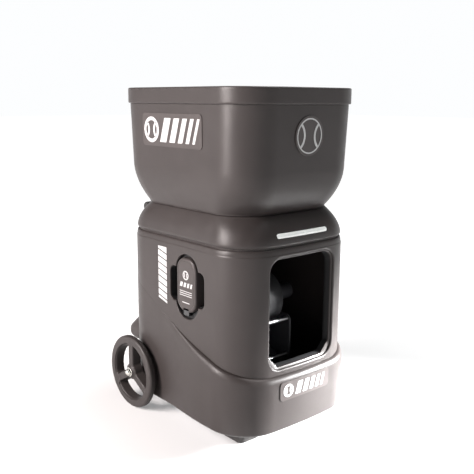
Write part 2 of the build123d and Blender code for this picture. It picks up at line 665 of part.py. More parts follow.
def charge_port():
    socket = rod_y(PANEL_Y - 12, PANEL_Y + PANEL_T + 2, PORT_X, PORT_Z, 8.9)
    socket += rod_y(PANEL_Y + PANEL_T, PANEL_Y + PANEL_T + 2, PORT_X, PORT_Z, 11.5)
    socket -= rod_y(PANEL_Y - 9, 260, PORT_X, PORT_Z, 5.6)
    return socket + rod_y(PANEL_Y - 12, PANEL_Y - 2, PORT_X, PORT_Z, 1.2)


def charge_cap():
    """A flap that hangs from a rib above the socket."""
    y0 = PANEL_Y + PANEL_T + 2.3
    cap = rod_y(y0, y0 + 3, PORT_X, PORT_Z, 11.5)
    cap += block(PORT_X - 5, PORT_X + 5, y0, y0 + 3, PORT_Z, PORT_Z + 15)
    return fillet(cap.edges().filter_by(lambda e: e.center().Y > y0 + 2.9), 0.8)


def control_board():
    board = block(-50, 50, 214, 215.6, 272, 422)
    chips = ((-25, 300, 24, 24, 4), (15, 305, 30, 16, 7), (-20, 375, 40, 26, 3), (30, 360, 14, 40, 9))
    for x, z, w, h, depth in chips:
        board += block(x, x + w, 214 - depth, 214, z, z + h)
    for x in (-32, 0, 32):
        board += block(x - 3, x + 3, 215.6, 219, BUTTON_Z - 3, BUTTON_Z + 3)
    return board


# ---- handle ---------------------------------------------------------------------------
def handle_brackets():
    brackets = Part()
    for low in (246 - 8, 444):
        bar = block(-97, 97, PANEL_Y - 0.1, HANDLE_Y + SLEEVE_R + 2, low, low + 16)
        brackets += fillet(bar.edges().filter_by(Axis.Z).filter_by(lambda e: e.center().Y > 250), 11)
    for side in (-1, 1):
        brackets -= rod_z(200, 500, side * HANDLE_X, HANDLE_Y, SLEEVE_R)
    return brackets


def handle_sleeves():
    sleeves = Part()
    for side in (-1, 1):
        sleeve = rod_z(232, 466, side * HANDLE_X, HANDLE_Y, SLEEVE_R)
        sleeves += sleeve - rod_z(240, 470, side * HANDLE_X, HANDLE_Y, TUBE_R + RUNNING)
    return sleeves


def handle_tubes():
    tubes = Part()
    for side in (-1, 1):
        tube = rod_z(241, GRIP_Z - 12, side * HANDLE_X, HANDLE_Y, TUBE_R)
        tubes += tube - rod_z(240, GRIP_Z, side * HANDLE_X, HANDLE_Y, TUBE_R - 1.2)
    return tubes


def handle_grip():
    bar = rod_x(-94, 94, HANDLE_Y, GRIP_Z, GRIP_R)
    bar = fillet(bar.edges(), 8)
    for side in (-1, 1):
        bar += rod_z(GRIP_Z - 12, GRIP_Z, side * HANDLE_X, HANDLE_Y, 11)
    return bar - block(-15.4, 15.4, HANDLE_Y - 5.4, HANDLE_Y + 5.4, GRIP_Z + 3, GRIP_Z + 20)


def handle_button():
    button = block(-15, 15, HANDLE_Y - 5, HANDLE_Y + 5, GRIP_Z + 7, GRIP_Z + GRIP_R + 2)
    return fillet(button.edges().filter_by(Axis.Z), 2)


# ---- hopper ---------------------------------------------------------------------------
def hopper_section(z, grow):
    """The hopper's outline at a height: a slight taper above, a rounding curve below."""
    if z >= HOPPER_CURVE_TOP:
        share = (z - HOPPER_CURVE_TOP) / (HOPPER_LIP - HOPPER_CURVE_TOP)
        half_w = HOPPER_WAIST[0] + share * (HOPPER_SHOULDER[0] - HOPPER_WAIST[0])
        half_d = HOPPER_WAIST[1] + share * (HOPPER_SHOULDER[1] - HOPPER_WAIST[1])
    else:
        share = ((HOPPER_CURVE_TOP - z) / (HOPPER_CURVE_TOP - HOPPER_BOTTOM)) ** 2
        half_w = HOPPER_WAIST[0] - share * (HOPPER_WAIST[0] - HOPPER_FOOT[0])
        half_d = HOPPER_WAIST[1] - share * (HOPPER_WAIST[1] - HOPPER_FOOT[1])
    face = plan(half_w + grow, half_d + grow, HOPPER_CORNER + grow, 2.0)
    return Pos(0, 0, z) * face


def hopper_solid(grow, low, high):
    steps = [z for z in (552, 566, 582, 600, 620, HOPPER_CURVE_TOP, HOPPER_LIP) if low < z < high]
    levels = [low] + steps + [high]
    sections = [hopper_section(z, grow) for z in levels]
    return loft(sections, ruled=True)


def hopper():
    outer = hopper_solid(0, HOPPER_BOTTOM, HOPPER_TOP)
    lip = hopper_section(HOPPER_LIP, HOPPER_LIP_STEP)
    outer += extrude(lip, amount=HOPPER_TOP - HOPPER_LIP, dir=(0, 0, 1))
    inner = hopper_solid(-HOPPER_WALL, HOPPER_BOTTOM + 3, HOPPER_TOP + 0.5)
    throat = upright(plan(143, 179, 73, BODY_BOW), HOPPER_BOTTOM - 1, HOPPER_BOTTOM + 5)
    return outer - inner - throat


def hopper_label_plates():
    skin = hopper_solid(1.6, 660, 782) - hopper_solid(0.1, 655, 786)
    plates = Part()
    for side in (-1, 1):
        plates += skin & slab_x(230, 77, 10, 14, 722, *sorted((side * 150, side * 230)))
    return plates


def hopper_emblem():
    """A plain round badge with a raised rim on the hopper's front."""
    skin = hopper_solid(2.2, 660, 782) - hopper_solid(0.1, 655, 786)
    disc = rod_y(-300, -200, 0, 715, 44)
    recess = hopper_solid(4, 658, 784) - hopper_solid(1.4, 655, 786)
    inner = recess & rod_y(-300, -200, 0, 715, 39)
    return (skin & disc) - inner


# ---- writing --------------------------------------------------------------------------
def all_parts():
    return {
        "body_shell": body_shell(),
        "window_bezel": window_bezel(),
        "front_label_plate": front_label_plate(),
        "stripe_decals": stripe_decals(),
        "chassis_plate": chassis_plate(),
        "front_feet": front_feet(),
        "foot_screws": foot_screws(),
        "top_cover": top_cover(),
        "light_bar_lens": light_bar_lens(),
        "feeder_deck": feeder_deck(),
        "feeder_well": feeder_well(),
        "feeder_carousel": feeder_carousel(),
        "feeder_gearmotor": feeder_gearmotor(),
        "drop_chute": drop_chute(),
        "turntable": turntable(),
        "pan_bearing": pan_bearing(),
        "pan_pinion": pan_pinion(),
        "pan_motor": pan_motor(),
        "yoke_left": yoke(-1),
        "yoke_right": yoke(1),
        "tilt_gear": tilt_gear(),
        "tilt_pinion": tilt_pinion(),
        "tilt_motor": tilt_motor(),
        "head_plate_left": head_plate(-1),
        "head_plate_right": head_plate(1),
        "head_spacers": head_spacers(),
        "trunnions": trunnions(),
        "wheel_motors": wheel_motors(),
        "upper_wheel_hub": throw_hub(THROW_RISE),
        "upper_wheel_tread": throw_tread(THROW_RISE),
        "lower_wheel_hub": throw_hub(-THROW_RISE),
        "lower_wheel_tread": throw_tread(-THROW_RISE),
        "breech_elbow": breech_elbow(),
        "battery_bay": battery_bay(),
        "battery_pack": battery_pack(),
        "battery_latch": battery_latch(),
        "road_wheel_left": road_wheel(-1),
        "road_wheel_right": road_wheel(1),
        "axle": axle(),
        "axle_brackets": axle_brackets(),
        "axle_cap_nuts": axle_cap_nuts(),
        "rear_bumper": rear_bumper(),
        "rear_panel": rear_panel(),
        "panel_display": panel_display(),
        "button_minus": panel_button(-32),
        "button_play": panel_button(0),
        "button_plus": panel_button(32),
        "power_switch_frame": power_switch_frame(),
        "power_rocker": power_rocker(),
        "charge_port": charge_port(),
        "charge_cap": charge_cap(),
        "control_board": control_board(),
        "handle_brackets": handle_brackets(),
        "handle_sleeves": handle_sleeves(),
        "handle_tubes": handle_tubes(),
        "handle_grip": handle_grip(),
        "handle_button": handle_button(),
        "hopper": hopper(),
        "hopper_label_plates": hopper_label_plates(),
        "hopper_emblem": hopper_emblem(),
    }


def main():
    os.makedirs("parts", exist_ok=True)
    for name, shape in all_parts().items():
        export_step(Pos(0, ROW_Y, 0) * shape, f"parts/{name}.step")


main()
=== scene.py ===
import json
from math import asin, atan2, cos, pi, radians, sin, sqrt, tan

import bmesh
import bpy
import numpy as np
from mathutils import Matrix, Vector


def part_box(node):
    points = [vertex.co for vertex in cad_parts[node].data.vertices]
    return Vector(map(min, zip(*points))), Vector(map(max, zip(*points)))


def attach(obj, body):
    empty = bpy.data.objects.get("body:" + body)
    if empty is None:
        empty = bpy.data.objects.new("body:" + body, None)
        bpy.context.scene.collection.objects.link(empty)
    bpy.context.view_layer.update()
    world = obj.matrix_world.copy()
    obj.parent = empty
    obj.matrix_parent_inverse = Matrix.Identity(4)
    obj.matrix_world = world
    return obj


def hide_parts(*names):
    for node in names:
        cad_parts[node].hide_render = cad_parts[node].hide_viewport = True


# Tennis ball machine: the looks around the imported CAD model. Sizes below are millimetres about the
# body's own centre line, as in the design, and place() turns them into metres in the shared frame.

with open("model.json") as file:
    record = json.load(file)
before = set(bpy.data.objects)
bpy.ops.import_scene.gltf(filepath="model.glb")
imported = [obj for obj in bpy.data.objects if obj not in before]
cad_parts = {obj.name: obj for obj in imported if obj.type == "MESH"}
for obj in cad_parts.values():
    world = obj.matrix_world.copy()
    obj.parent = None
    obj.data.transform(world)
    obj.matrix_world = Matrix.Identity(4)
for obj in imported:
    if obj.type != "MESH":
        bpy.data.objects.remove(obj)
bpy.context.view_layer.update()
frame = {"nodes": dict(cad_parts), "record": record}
NODES = frame["nodes"]

MM = 0.001
CENTRE_Y = sum(corner.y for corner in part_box("feeder_well")) / 2

# The body: its lower edge, its rim and wall, the ledge that fades out towards the rear, and the rising
# line that the ledge follows.
BODY_BOTTOM, BODY_RIM, WALL = 40.0, 455.0, 4.5
LEDGE, LEDGE_TALL, LEDGE_REAR = 11.0, 17.0, 0.4
FADE_REAR, FADE_FRONT = 66.0, -110.0
SWEEP_Y = (-270, -151, -89, -12, 95, 240)
SWEEP_Z = (165, 202, 220, 248, 300, 372)
BASE_EDGE = 9.0

# The cover and the hopper: heights, and (half width, half depth) at each.
COVER_BOTTOM, COVER_TOP = 473.0, 540.0
COVER_FOOT, COVER_NECK, COVER_CORNER = (184.5, 228.5), (160.0, 196.0), 92.0
HOPPER_BOTTOM, HOPPER_CURVE_TOP, HOPPER_LIP, HOPPER_TOP = 540.3, 642.0, 783.0, 820.0
HOPPER_FOOT, HOPPER_WAIST, HOPPER_SHOULDER = (161.0, 197.0), (182.5, 241.0), (185.0, 247.0)
HOPPER_CORNER, LIP_STEP, HOPPER_WALL = 90.0, 5.0, 3.5

# Openings in the body and the cover.
WINDOW = dict(half_u=104.0, half_v=131.0, corner=35.0)
WINDOW_Z = 319.0
PANEL = dict(half_u=54, half_v=79, corner=7)
PANEL_Z = 347.0
PACK_Y, PACK_Z, PACK_FACE = -42.5, 366.0, 188.5
DOCK_Y, DOCK_Z = -44.0, 362.0
FINGER_Y, FINGER_Z = -43.5, 362.5
LAMP = dict(half_u=82, half_v=6.5, corner=6.3, per_corner=10, per_side=30)
LAMP_Z = 497.5

# Wheels, their axle and the front feet.
WHEEL_Y, WHEEL_R, WHEEL_IN, WHEEL_OUT = 167.6, 95.0, 190.0, 215.0
AXLE_HOLE_R, BORE_R = 7, 6.3
FOOT_X, FOOT_Y, FOOT_HOLE_R = 102.5, -144.5, 8

# Middles of the plain marks.
HOPPER_MARK_Z, EMBLEM_Z, BASE_MARK_Z = 722, 715, 138.5

# Lamps in watts, the room's brightness overhead, and where the floor's glow starts and ends, in metres.
KEY_POWER, TOP_POWER, RIGHT_POWER = 160, 60, 1250
ROOM_LIGHT, FLOOR_GLOW = 0.12, (0.2, 0.92)
FLOOR_HALF = 30000


# ---- mesh helpers ---------------------------------------------------------------------
def place(points):
    """Millimetres about the body's centre line to metres in the shared frame."""
    moved = np.array(points, float).reshape(-1, 3)
    moved = moved * MM
    moved[:, 1] += CENTRE_Y
    return moved


def solid(name, verts, faces, sharp=32):
    """A mesh object with smooth faces and sharp edges past an angle in degrees."""
    mesh = bpy.data.meshes.new(name)
    mesh.from_pydata([tuple(v) for v in place(verts)], [], [tuple(map(int, f)) for f in faces])
    obj = bpy.data.objects.new(name, mesh)
    bpy.context.scene.collection.objects.link(obj)
    tidy(mesh, sharp)
    return obj


def tidy(mesh, sharp):
    """Welds doubled points, turns the faces outward, and marks the sharp edges."""
    work = bmesh.new()
    work.from_mesh(mesh)
    bmesh.ops.remove_doubles(work, verts=work.verts, dist=2e-6)
    bmesh.ops.dissolve_degenerate(work, edges=work.edges, dist=2e-6)
    bmesh.ops.recalc_face_normals(work, faces=work.faces)
    work.to_mesh(mesh)
    work.free()
    mesh.shade_smooth()
    mesh.set_sharp_from_angle(angle=radians(sharp))


def shell(name, rows, loop=True, caps=False, sharp=32):
    """Quads through rows of points that each run once round. loop joins the last row to the first."""
    count = len(rows[0])
    verts = np.concatenate([np.asarray(r, float) for r in rows])
    last = len(rows) if loop else len(rows) - 1
    faces = []
    for i in range(last):
        low, high = i * count, ((i + 1) % len(rows)) * count
        for j in range(count):
            k = (j + 1) % count
            faces.append((low + j, low + k, high + k, high + j))
    if caps:
        faces.append(range(count - 1, -1, -1))
        faces.append(range((len(rows) - 1) * count, len(rows) * count))
    return solid(name, verts, faces, sharp)


def fan_ended(name, rows):
    """Like shell, open, with both ends closed by a fan about the row's middle."""
    count = len(rows[0])
    verts = np.concatenate([np.asarray(r, float) for r in rows])
    faces = []
    for i in range(len(rows) - 1):
        for j in range(count):
            k = (j + 1) % count
            faces.append((i * count + j, i * count + k, (i + 1) * count + k, (i + 1) * count + j))
    for start in (0, (len(rows) - 1) * count):
        middle = len(verts)
        verts = np.vstack([verts, verts[start:start + count].mean(0)])
        faces += [(start + j, start + (j + 1) % count, middle) for j in range(count)]
    return solid(name, verts, faces)


def carve(target, tools, sharp=32):
    """Cuts the tools out of the target and throws them away."""
    for tool in tools:
        cut = target.modifiers.new("cut", "BOOLEAN")
        cut.operation = "DIFFERENCE"
        cut.solver = "EXACT"
        cut.object = tool
    bpy.context.view_layer.update()
    graph = bpy.context.evaluated_depsgraph_get()
    mesh = bpy.data.meshes.new_from_object(target.evaluated_get(graph))
    target.modifiers.clear()
    target.data = mesh
    for tool in tools:
        bpy.data.objects.remove(tool)
    tidy(mesh, sharp)
    return target


def join(target, *others):
    """Adds the others' meshes to the target's."""
    work = bmesh.new()
    for obj in (target, *others):
        work.from_mesh(obj.data)
    work.to_mesh(target.data)
    work.free()
    for obj in others:
        bpy.data.objects.remove(obj)
    return target


def finish_piece(obj, body, slot, *nodes):
    """The piece rides on its body, takes its slot's finish and stands for its CAD nodes."""
    obj.data.materials.clear()
    obj.data.materials.append(FINISH[slot])
    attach(obj, body)
    if nodes:
        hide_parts(*nodes)
    return obj


# ---- outlines -------------------------------------------------------------------------
class Plan:
    """A rounded rectangle seen from above, whose front edge bows out."""

    SIDE, CORNER, FRONT, REAR = 70, 26, 72, 40

    def __init__(self, half_w, half_d, corner, bow):
        self.half_w, self.half_d, self.corner = half_w, half_d, corner
        self.big = (half_w ** 2 + bow ** 2) / (2 * bow)
        self.big_y = self.big - half_d - bow
        self.cx = half_w - corner
        self.cy = self.big_y - sqrt((self.big - corner) ** 2 - self.cx ** 2)
        self.lean = asin(self.cx / (self.big - corner))

    def front(self, x, grow=0.0):
        """The front edge's y at x, on the outline grown outward."""
        edge = (self.big + grow) * sin(self.lean)
        if abs(x) <= edge:
            return self.big_y - sqrt((self.big + grow) ** 2 - x * x)
        reach = self.corner + grow
        return self.cy - sqrt(max(0.0, reach ** 2 - (abs(x) - self.cx) ** 2))

    def outline(self):
        """Points anticlockwise from the left side's rear end, and their outward normals."""
        points, normals = [], []

        def line(start, end, normal, count):
            for step in range(count):
                share = step / count
                points.append([a + share * (b - a) for a, b in zip(start, end)])
                normals.append(normal)

        def arc(cx, cy, r, start, end, count):
            for step in range(count):
                angle = start + step / count * (end - start)
                points.append((cx + r * cos(angle), cy + r * sin(angle)))
                normals.append((cos(angle), sin(angle)))

        down, rear = 1.5 * pi, self.half_d - self.corner
        line((-self.half_w, rear), (-self.half_w, self.cy), (-1, 0), self.SIDE)
        arc(-self.cx, self.cy, self.corner, pi, down - self.lean, self.CORNER)
        arc(0, self.big_y, self.big, down - self.lean, down + self.lean, self.FRONT)
        arc(self.cx, self.cy, self.corner, down + self.lean, 2 * pi, self.CORNER)
        line((self.half_w, self.cy), (self.half_w, rear), (1, 0), self.SIDE)
        arc(self.cx, rear, self.corner, 0, pi / 2, self.CORNER)
        line((self.cx, self.half_d), (-self.cx, self.half_d), (0, 1), self.REAR)
        arc(-self.cx, rear, self.corner, pi / 2, pi, self.CORNER)
        return np.array(points), np.array(normals)

    def row(self, offset, z):
        """The outline moved outward by offset, at height z; either may be one value for each point."""
        points, normals = self.outline()
        offset = np.broadcast_to(np.asarray(offset, float), len(points))
        height = np.broadcast_to(np.asarray(z, float), len(points))
        return np.column_stack([points + normals * offset[:, None], height])


def mix(a, b, share):
    return a + (b - a) * share


def smooth(share):
    share = np.clip(share, 0, 1)
    return share * share * (3 - 2 * share)


def rounded(half_u, half_v, corner, grow=0.0, per_corner=12, per_side=14):
    """Points round a rounded rectangle, anticlockwise, grown outward."""
    half_u, half_v, corner = half_u + grow, half_v + grow, corner + grow
    points = []
    middles = ((half_u - corner, half_v - corner), (-half_u + corner, half_v - corner),
               (-half_u + corner, -half_v + corner), (half_u - corner, -half_v + corner))
    for index, (u, v) in enumerate(middles):
        for step in range(per_corner + 1):
            angle = pi / 2 * (index + step / per_corner)
            points.append((u + corner * cos(angle), v + corner * sin(angle)))
        end, target = points[-1], middles[(index + 1) % 4]
        angle = pi / 2 * (index + 1)
        start_next = (target[0] + corner * cos(angle), target[1] + corner * sin(angle))
        for step in range(1, per_side):
            share = step / per_side
            points.append((mix(end[0], start_next[0], share), mix(end[1], start_next[1], share)))
    return points


BODY_PLAN = Plan(187.0, 231.0, 96.0, 12.0)
BASE_PLAN = Plan(198.0, 242.0, 107.0, 12.0)


def cover_plan(z):
    """The cover's outline at height z, drawn in towards the neck."""
    share = max(0.0, (z - COVER_BOTTOM) / (COVER_TOP - COVER_BOTTOM)) ** 2
    half_w, half_d = (mix(a, b, share) for a, b in zip(COVER_FOOT, COVER_NECK))
    return Plan(half_w, half_d, COVER_CORNER, 12.0)


def hopper_plan(z, grow=0.0):
    """The hopper's outline at height z: a bowl below, nearly straight walls above."""
    if z >= HOPPER_CURVE_TOP:
        share = (z - HOPPER_CURVE_TOP) / (HOPPER_LIP - HOPPER_CURVE_TOP)
        sizes = [mix(a, b, share) for a, b in zip(HOPPER_WAIST, HOPPER_SHOULDER)]
    else:
        share = ((HOPPER_CURVE_TOP - z) / (HOPPER_CURVE_TOP - HOPPER_BOTTOM)) ** 2
        sizes = [mix(a, b, share) for a, b in zip(HOPPER_WAIST, HOPPER_FOOT)]
    return Plan(sizes[0] + grow, sizes[1] + grow, HOPPER_CORNER + grow, 2.0)


def sweep_height(y):
    """The rising line that the lower body ends in: a natural cubic through its points."""
    xs, zs = np.array(SWEEP_Y, float), np.array(SWEEP_Z, float)
    h = np.diff(xs)
    matrix, right = np.eye(len(xs)), np.zeros(len(xs))
    for i in range(1, len(xs) - 1):
        matrix[i, i - 1:i + 2] = h[i - 1], 2 * (h[i - 1] + h[i]), h[i]
        right[i] = 6 * ((zs[i + 1] - zs[i]) / h[i] - (zs[i] - zs[i - 1]) / h[i - 1])
    bend = np.linalg.solve(matrix, right)
    y = np.asarray(y, float)
    i = np.clip(np.searchsorted(xs, y) - 1, 0, len(h) - 1)
    a, b = (xs[i + 1] - y) / h[i], (y - xs[i]) / h[i]
    curve = ((a ** 3 - a) * bend[i] + (b ** 3 - b) * bend[i + 1]) * h[i] ** 2 / 6
    return a * zs[i] + b * zs[i + 1] + curve


# ---- materials ------------------------------------------------------------------------
FINISH = {}


class Shader:
    """A Principled material whose colour, roughness and bump come from procedural textures."""

    def __init__(self, name, metallic=0.0, coat=0.0, specular=0.5):
        self.material = bpy.data.materials.new(name)
        self.material.use_nodes = True
        self.tree = self.material.node_tree
        self.bsdf = self.tree.nodes["Principled BSDF"]
        self.bsdf.inputs["Metallic"].default_value = metallic
        self.bsdf.inputs["Coat Weight"].default_value = coat
        self.bsdf.inputs["Coat Roughness"].default_value = 0.15
        self.bsdf.inputs["Specular IOR Level"].default_value = specular
        self.coords = self.node("ShaderNodeTexCoord").outputs["Object"]
        self.normal = None
        FINISH[name] = self.material

    def node(self, kind, **settings):
        node = self.tree.nodes.new(kind)
        for key, value in settings.items():
            setattr(node, key, value)
        return node

    def link(self, a, b):
        self.tree.links.new(a, b)

    def noise(self, scale, detail=3.0, rough=0.55, stretch=(1, 1, 1)):
        mapping = self.node("ShaderNodeMapping")
        mapping.inputs["Scale"].default_value = stretch
        self.link(self.coords, mapping.inputs["Vector"])
        noise = self.node("ShaderNodeTexNoise")
        noise.inputs["Scale"].default_value = scale
        noise.inputs["Detail"].default_value = detail
        noise.inputs["Roughness"].default_value = rough
        self.link(mapping.outputs["Vector"], noise.inputs["Vector"])
        return noise.outputs["Fac"]

    def cells(self, scale):
        cell = self.node("ShaderNodeTexVoronoi", feature="SMOOTH_F1")
        cell.inputs["Scale"].default_value = scale
        self.link(self.coords, cell.inputs["Vector"])
        return cell.outputs["Distance"]

    def ranged(self, source, low, high, start=0.3, end=0.7):
        remap = self.node("ShaderNodeMapRange")
        limits = {"From Min": start, "From Max": end, "To Min": low, "To Max": high}
        for socket, value in limits.items():
            remap.inputs[socket].default_value = value
        self.link(source, remap.inputs["Value"])
        return remap.outputs["Result"]

    def colours(self, source, dark, light):
        ramp = self.node("ShaderNodeValToRGB")
        ramp.color_ramp.elements[0].position, ramp.color_ramp.elements[1].position = 0.3, 0.7
        ramp.color_ramp.elements[0].color = (*dark, 1)
        ramp.color_ramp.elements[1].color = (*light, 1)
        self.link(source, ramp.inputs["Fac"])
        return ramp.outputs["Color"]

    def blend(self, share, a, b):
        mixer = self.node("ShaderNodeMix", data_type="RGBA")
        self.link(share, mixer.inputs["Factor"])
        self.link(a, mixer.inputs["A"])
        if isinstance(b, tuple):
            mixer.inputs["B"].default_value = (*b, 1)
        else:
            self.link(b, mixer.inputs["B"])
        return mixer.outputs["Result"]

    def edges(self, low=0.51, high=0.6):
        """Where the surface turns outward sharply, as moulded and rubbed edges do."""
        pointiness = self.node("ShaderNodeNewGeometry").outputs["Pointiness"]
        return self.ranged(pointiness, 0.0, 1.0, low, high)

    def bump(self, source, depth, strength=1.0):
        bump = self.node("ShaderNodeBump")
        bump.inputs["Strength"].default_value = strength
        bump.inputs["Distance"].default_value = depth
        self.link(source, bump.inputs["Height"])
        if self.normal is not None:
            self.link(self.normal, bump.inputs["Normal"])
        self.normal = bump.outputs["Normal"]

    def done(self, colour, roughness):
        self.link(colour, self.bsdf.inputs["Base Color"])
        self.link(roughness, self.bsdf.inputs["Roughness"])
        if self.normal is not None:
            self.link(self.normal, self.bsdf.inputs["Normal"])


def shade(colour, factor):
    """The colour made darker or lighter by a factor."""
    return tuple(min(1.0, c * factor) for c in colour)


def moulded(name, colour, rough, depth=0.00006, wear=1.5, coat=0.0, specular=0.4):
    """Moulded plastic: a fine spark-eroded grain, slight cloudiness and rubbed edges."""
    grain = 1500.0
    s = Shader(name, coat=coat, specular=specular)
    cloud = s.colours(s.noise(9, 4), shade(colour, 0.92), shade(colour, 1.08))
    speck = s.ranged(s.noise(2600, 2), 0.0, 0.22, 0.45, 0.75)
    base = s.blend(speck, cloud, shade(colour, 1.6))
    rubbed = s.node("ShaderNodeMath", operation="MULTIPLY")
    s.link(s.edges(), rubbed.inputs[0])
    s.link(s.ranged(s.noise(60, 3), 0.05, 0.5), rubbed.inputs[1])
    base = s.blend(rubbed.outputs[0], base, shade(colour, wear))
    s.bump(s.cells(grain), depth, 0.6)
    s.bump(s.noise(grain * 2.2, 2), depth * 0.5, 0.5)
    s.done(base, s.ranged(s.noise(35, 5), rough - 0.05, rough + 0.06))


def rubber(name, colour, rough):
    """Rubber: dull, pebbled, and dusty in patches."""
    s = Shader(name, specular=0.35)
    dusty = s.ranged(s.noise(28, 5), 0.0, 0.35, 0.48, 0.75)
    clean = s.colours(s.noise(14), shade(colour, 0.8), shade(colour, 1.2))
    base = s.blend(dusty, clean, shade(colour, 2.2))
    s.bump(s.noise(1100, 3), 0.00012, 0.7)
    s.bump(s.noise(90, 3), 0.0001, 0.3)
    s.done(base, s.ranged(s.noise(50, 3), rough - 0.08, rough + 0.1))


def metal(name, colour, rough, stretch=(1, 1, 1), scale=400.0, depth=0.00002):
    """Turned, brushed or plated metal: the stretch draws its noise out into tool marks."""
    s = Shader(name, metallic=1.0)
    tool_marks = s.noise(scale, 3, 0.6, stretch)
    stains = s.ranged(s.noise(22, 4), 0.0, 0.5)
    clean = s.colours(tool_marks, shade(colour, 0.82), shade(colour, 1.08))
    base = s.blend(stains, clean, shade(colour, 0.7))
    s.bump(tool_marks, depth, 0.5)
    s.done(base, s.ranged(tool_marks, rough * 0.8, rough * 1.3))


def coated(name, colour, rough):
    """Powder coat: orange peel, and metal showing a little along the edges."""
    s = Shader(name, coat=0.15)
    base = s.colours(s.noise(12, 4), shade(colour, 0.85), shade(colour, 1.15))
    base = s.blend(s.ranged(s.edges(0.53, 0.64), 0.0, 0.3, 0.0, 1.0), base, shade(colour, 5))
    s.bump(s.noise(420, 2), 0.00008, 0.5)
    s.done(base, s.ranged(s.noise(70, 4), rough - 0.06, rough + 0.08))


def printed(name, colour, rough):
    """Screen print: thin, even ink."""
    s = Shader(name)
    base = s.colours(s.noise(240, 4), shade(colour, 0.93), shade(colour, 1.0))
    s.bump(s.noise(1500, 2), 0.00002, 0.4)
    s.done(base, s.ranged(s.noise(80, 3), rough - 0.06, rough + 0.06))


def glazed(name, colour, rough, glow=0.0):
    """Diffusing or dark window plastic under a clear surface."""
    s = Shader(name, coat=0.6)
    base = s.colours(s.noise(30, 4), shade(colour, 0.94), shade(colour, 1.0))
    s.bump(s.noise(700, 2), 0.00001, 0.4)
    s.bsdf.inputs["Emission Color"].default_value = (*colour, 1)
    s.bsdf.inputs["Emission Strength"].default_value = glow
    s.done(base, s.ranged(s.noise(120, 3), rough - 0.03, rough + 0.05))


def all_finishes():
    """One finish for each material slot."""
    warm = (0.031, 0.0262, 0.0254)
    moulded("shell_plastic", warm, 0.38, specular=0.26)
    moulded("wheel_plastic", shade(warm, 0.9), 0.46, specular=0.3)
    moulded("label_plastic", shade(warm, 1.35), 0.38, depth=0.00003, specular=0.35)
    moulded("pack_plastic", shade(warm, 1.2), 0.42, specular=0.3)
    moulded("black_plastic", (0.009, 0.009, 0.010), 0.55)
    moulded("panel_plastic", (0.02, 0.02, 0.021), 0.45)
    moulded("grey_plastic", (0.09, 0.09, 0.095), 0.5)
    moulded("gear_plastic", (0.42, 0.41, 0.37), 0.45, wear=1.15)
    moulded("gloss_black", (0.008, 0.008, 0.009), 0.2, depth=0.00001, coat=0.4)
    moulded("board_green", (0.012, 0.09, 0.03), 0.35, depth=0.00003, coat=0.3)
    rubber("rubber_black", (0.03, 0.028, 0.027), 0.6)
    rubber("throw_rubber", (0.016, 0.016, 0.018), 0.7)
    rubber("button_rubber", (0.05, 0.05, 0.052), 0.6)
    rubber("grip_rubber", (0.018, 0.018, 0.018), 0.68)
    metal("zinc_steel", (0.55, 0.56, 0.58), 0.35)
    metal("bright_steel", (0.5, 0.5, 0.51), 0.34, (1, 12, 12))
    metal("chrome", (0.86, 0.85, 0.80), 0.1, scale=150.0, depth=0.000005)
    metal("brass_gear", (0.72, 0.52, 0.24), 0.28, (10, 1, 1))
    metal("wheel_hub_alloy", (0.3, 0.3, 0.31), 0.42, (14, 1, 1))
    metal("anodised", (0.22, 0.22, 0.23), 0.33, (1, 1, 14))
    coated("black_metal", (0.016, 0.016, 0.018), 0.45)
    coated("motor_steel", (0.014, 0.014, 0.016), 0.5)
    printed("white_print", (0.4, 0.4, 0.4), 0.45)
    glazed("lamp_lens", (0.8, 0.82, 0.8), 0.25, 0.12)
    glazed("display_glass", (0.012, 0.016, 0.016), 0.08)


# ---- body -----------------------------------------------------------------------------
def window_cutter():
    """A tunnel whose mouth flares, so that it leaves a rounded edge on the body."""
    edge = 4.5
    turns = [radians(a) for a in (12, 30, 48, 66, 90)]
    rings = [(edge * (1 - sin(t)), edge * (1 - cos(t))) for t in turns]
    first = (rings[0][0] + 1.0, rings[0][1] - tan(turns[0]))
    steps = [(first[0], -30.0), first] + rings + [(0.0, 40.0)]
    rows = []
    for grow, depth in steps:
        outline = rounded(**WINDOW, grow=grow, per_side=24)
        rows.append([(u, BODY_PLAN.front(u) + depth, WINDOW_Z + v) for u, v in outline])
    return fan_ended("window_cutter", rows)


def side_cutter(half_u, half_v, corner, y, z):
    """A recess in the left side with an eased edge."""
    edge = 1.4
    steps = ((edge + 2, -12.0), (edge, 0.0), (edge * 0.3, edge * 0.35), (0.0, edge), (0.0, 22.0))
    rows = []
    for grow, depth in steps:
        outline = rounded(half_u, half_v, corner, grow)
        rows.append([(depth - BODY_PLAN.half_w, y + u, z + v) for u, v in outline])
    return fan_ended("side_cutter", rows)


def rear_cutter():
    """The rear panel's opening."""
    rows = [[(u, y, PANEL_Z + v) for u, v in rounded(**PANEL)] for y in (210.0, 245.0)]
    return fan_ended("rear_cutter", rows)


def axle_cutter(side):
    """The axle's hole through the body's side."""
    ring = circle(0, 0, AXLE_HOLE_R, count=24)
    rows = [[(side * x, WHEEL_Y + u, WHEEL_R + v) for u, v in ring] for x in (100.0, 210.0)]
    return fan_ended("axle_cutter", rows)


def ledge_reach():
    """How far the lower body stands out at each point of the outline, and how much of the ledge that is."""
    outline, _ = BODY_PLAN.outline()
    share = smooth((FADE_REAR - outline[:, 1]) / (FADE_REAR - FADE_FRONT))
    return mix(LEDGE_REAR, LEDGE, share), share


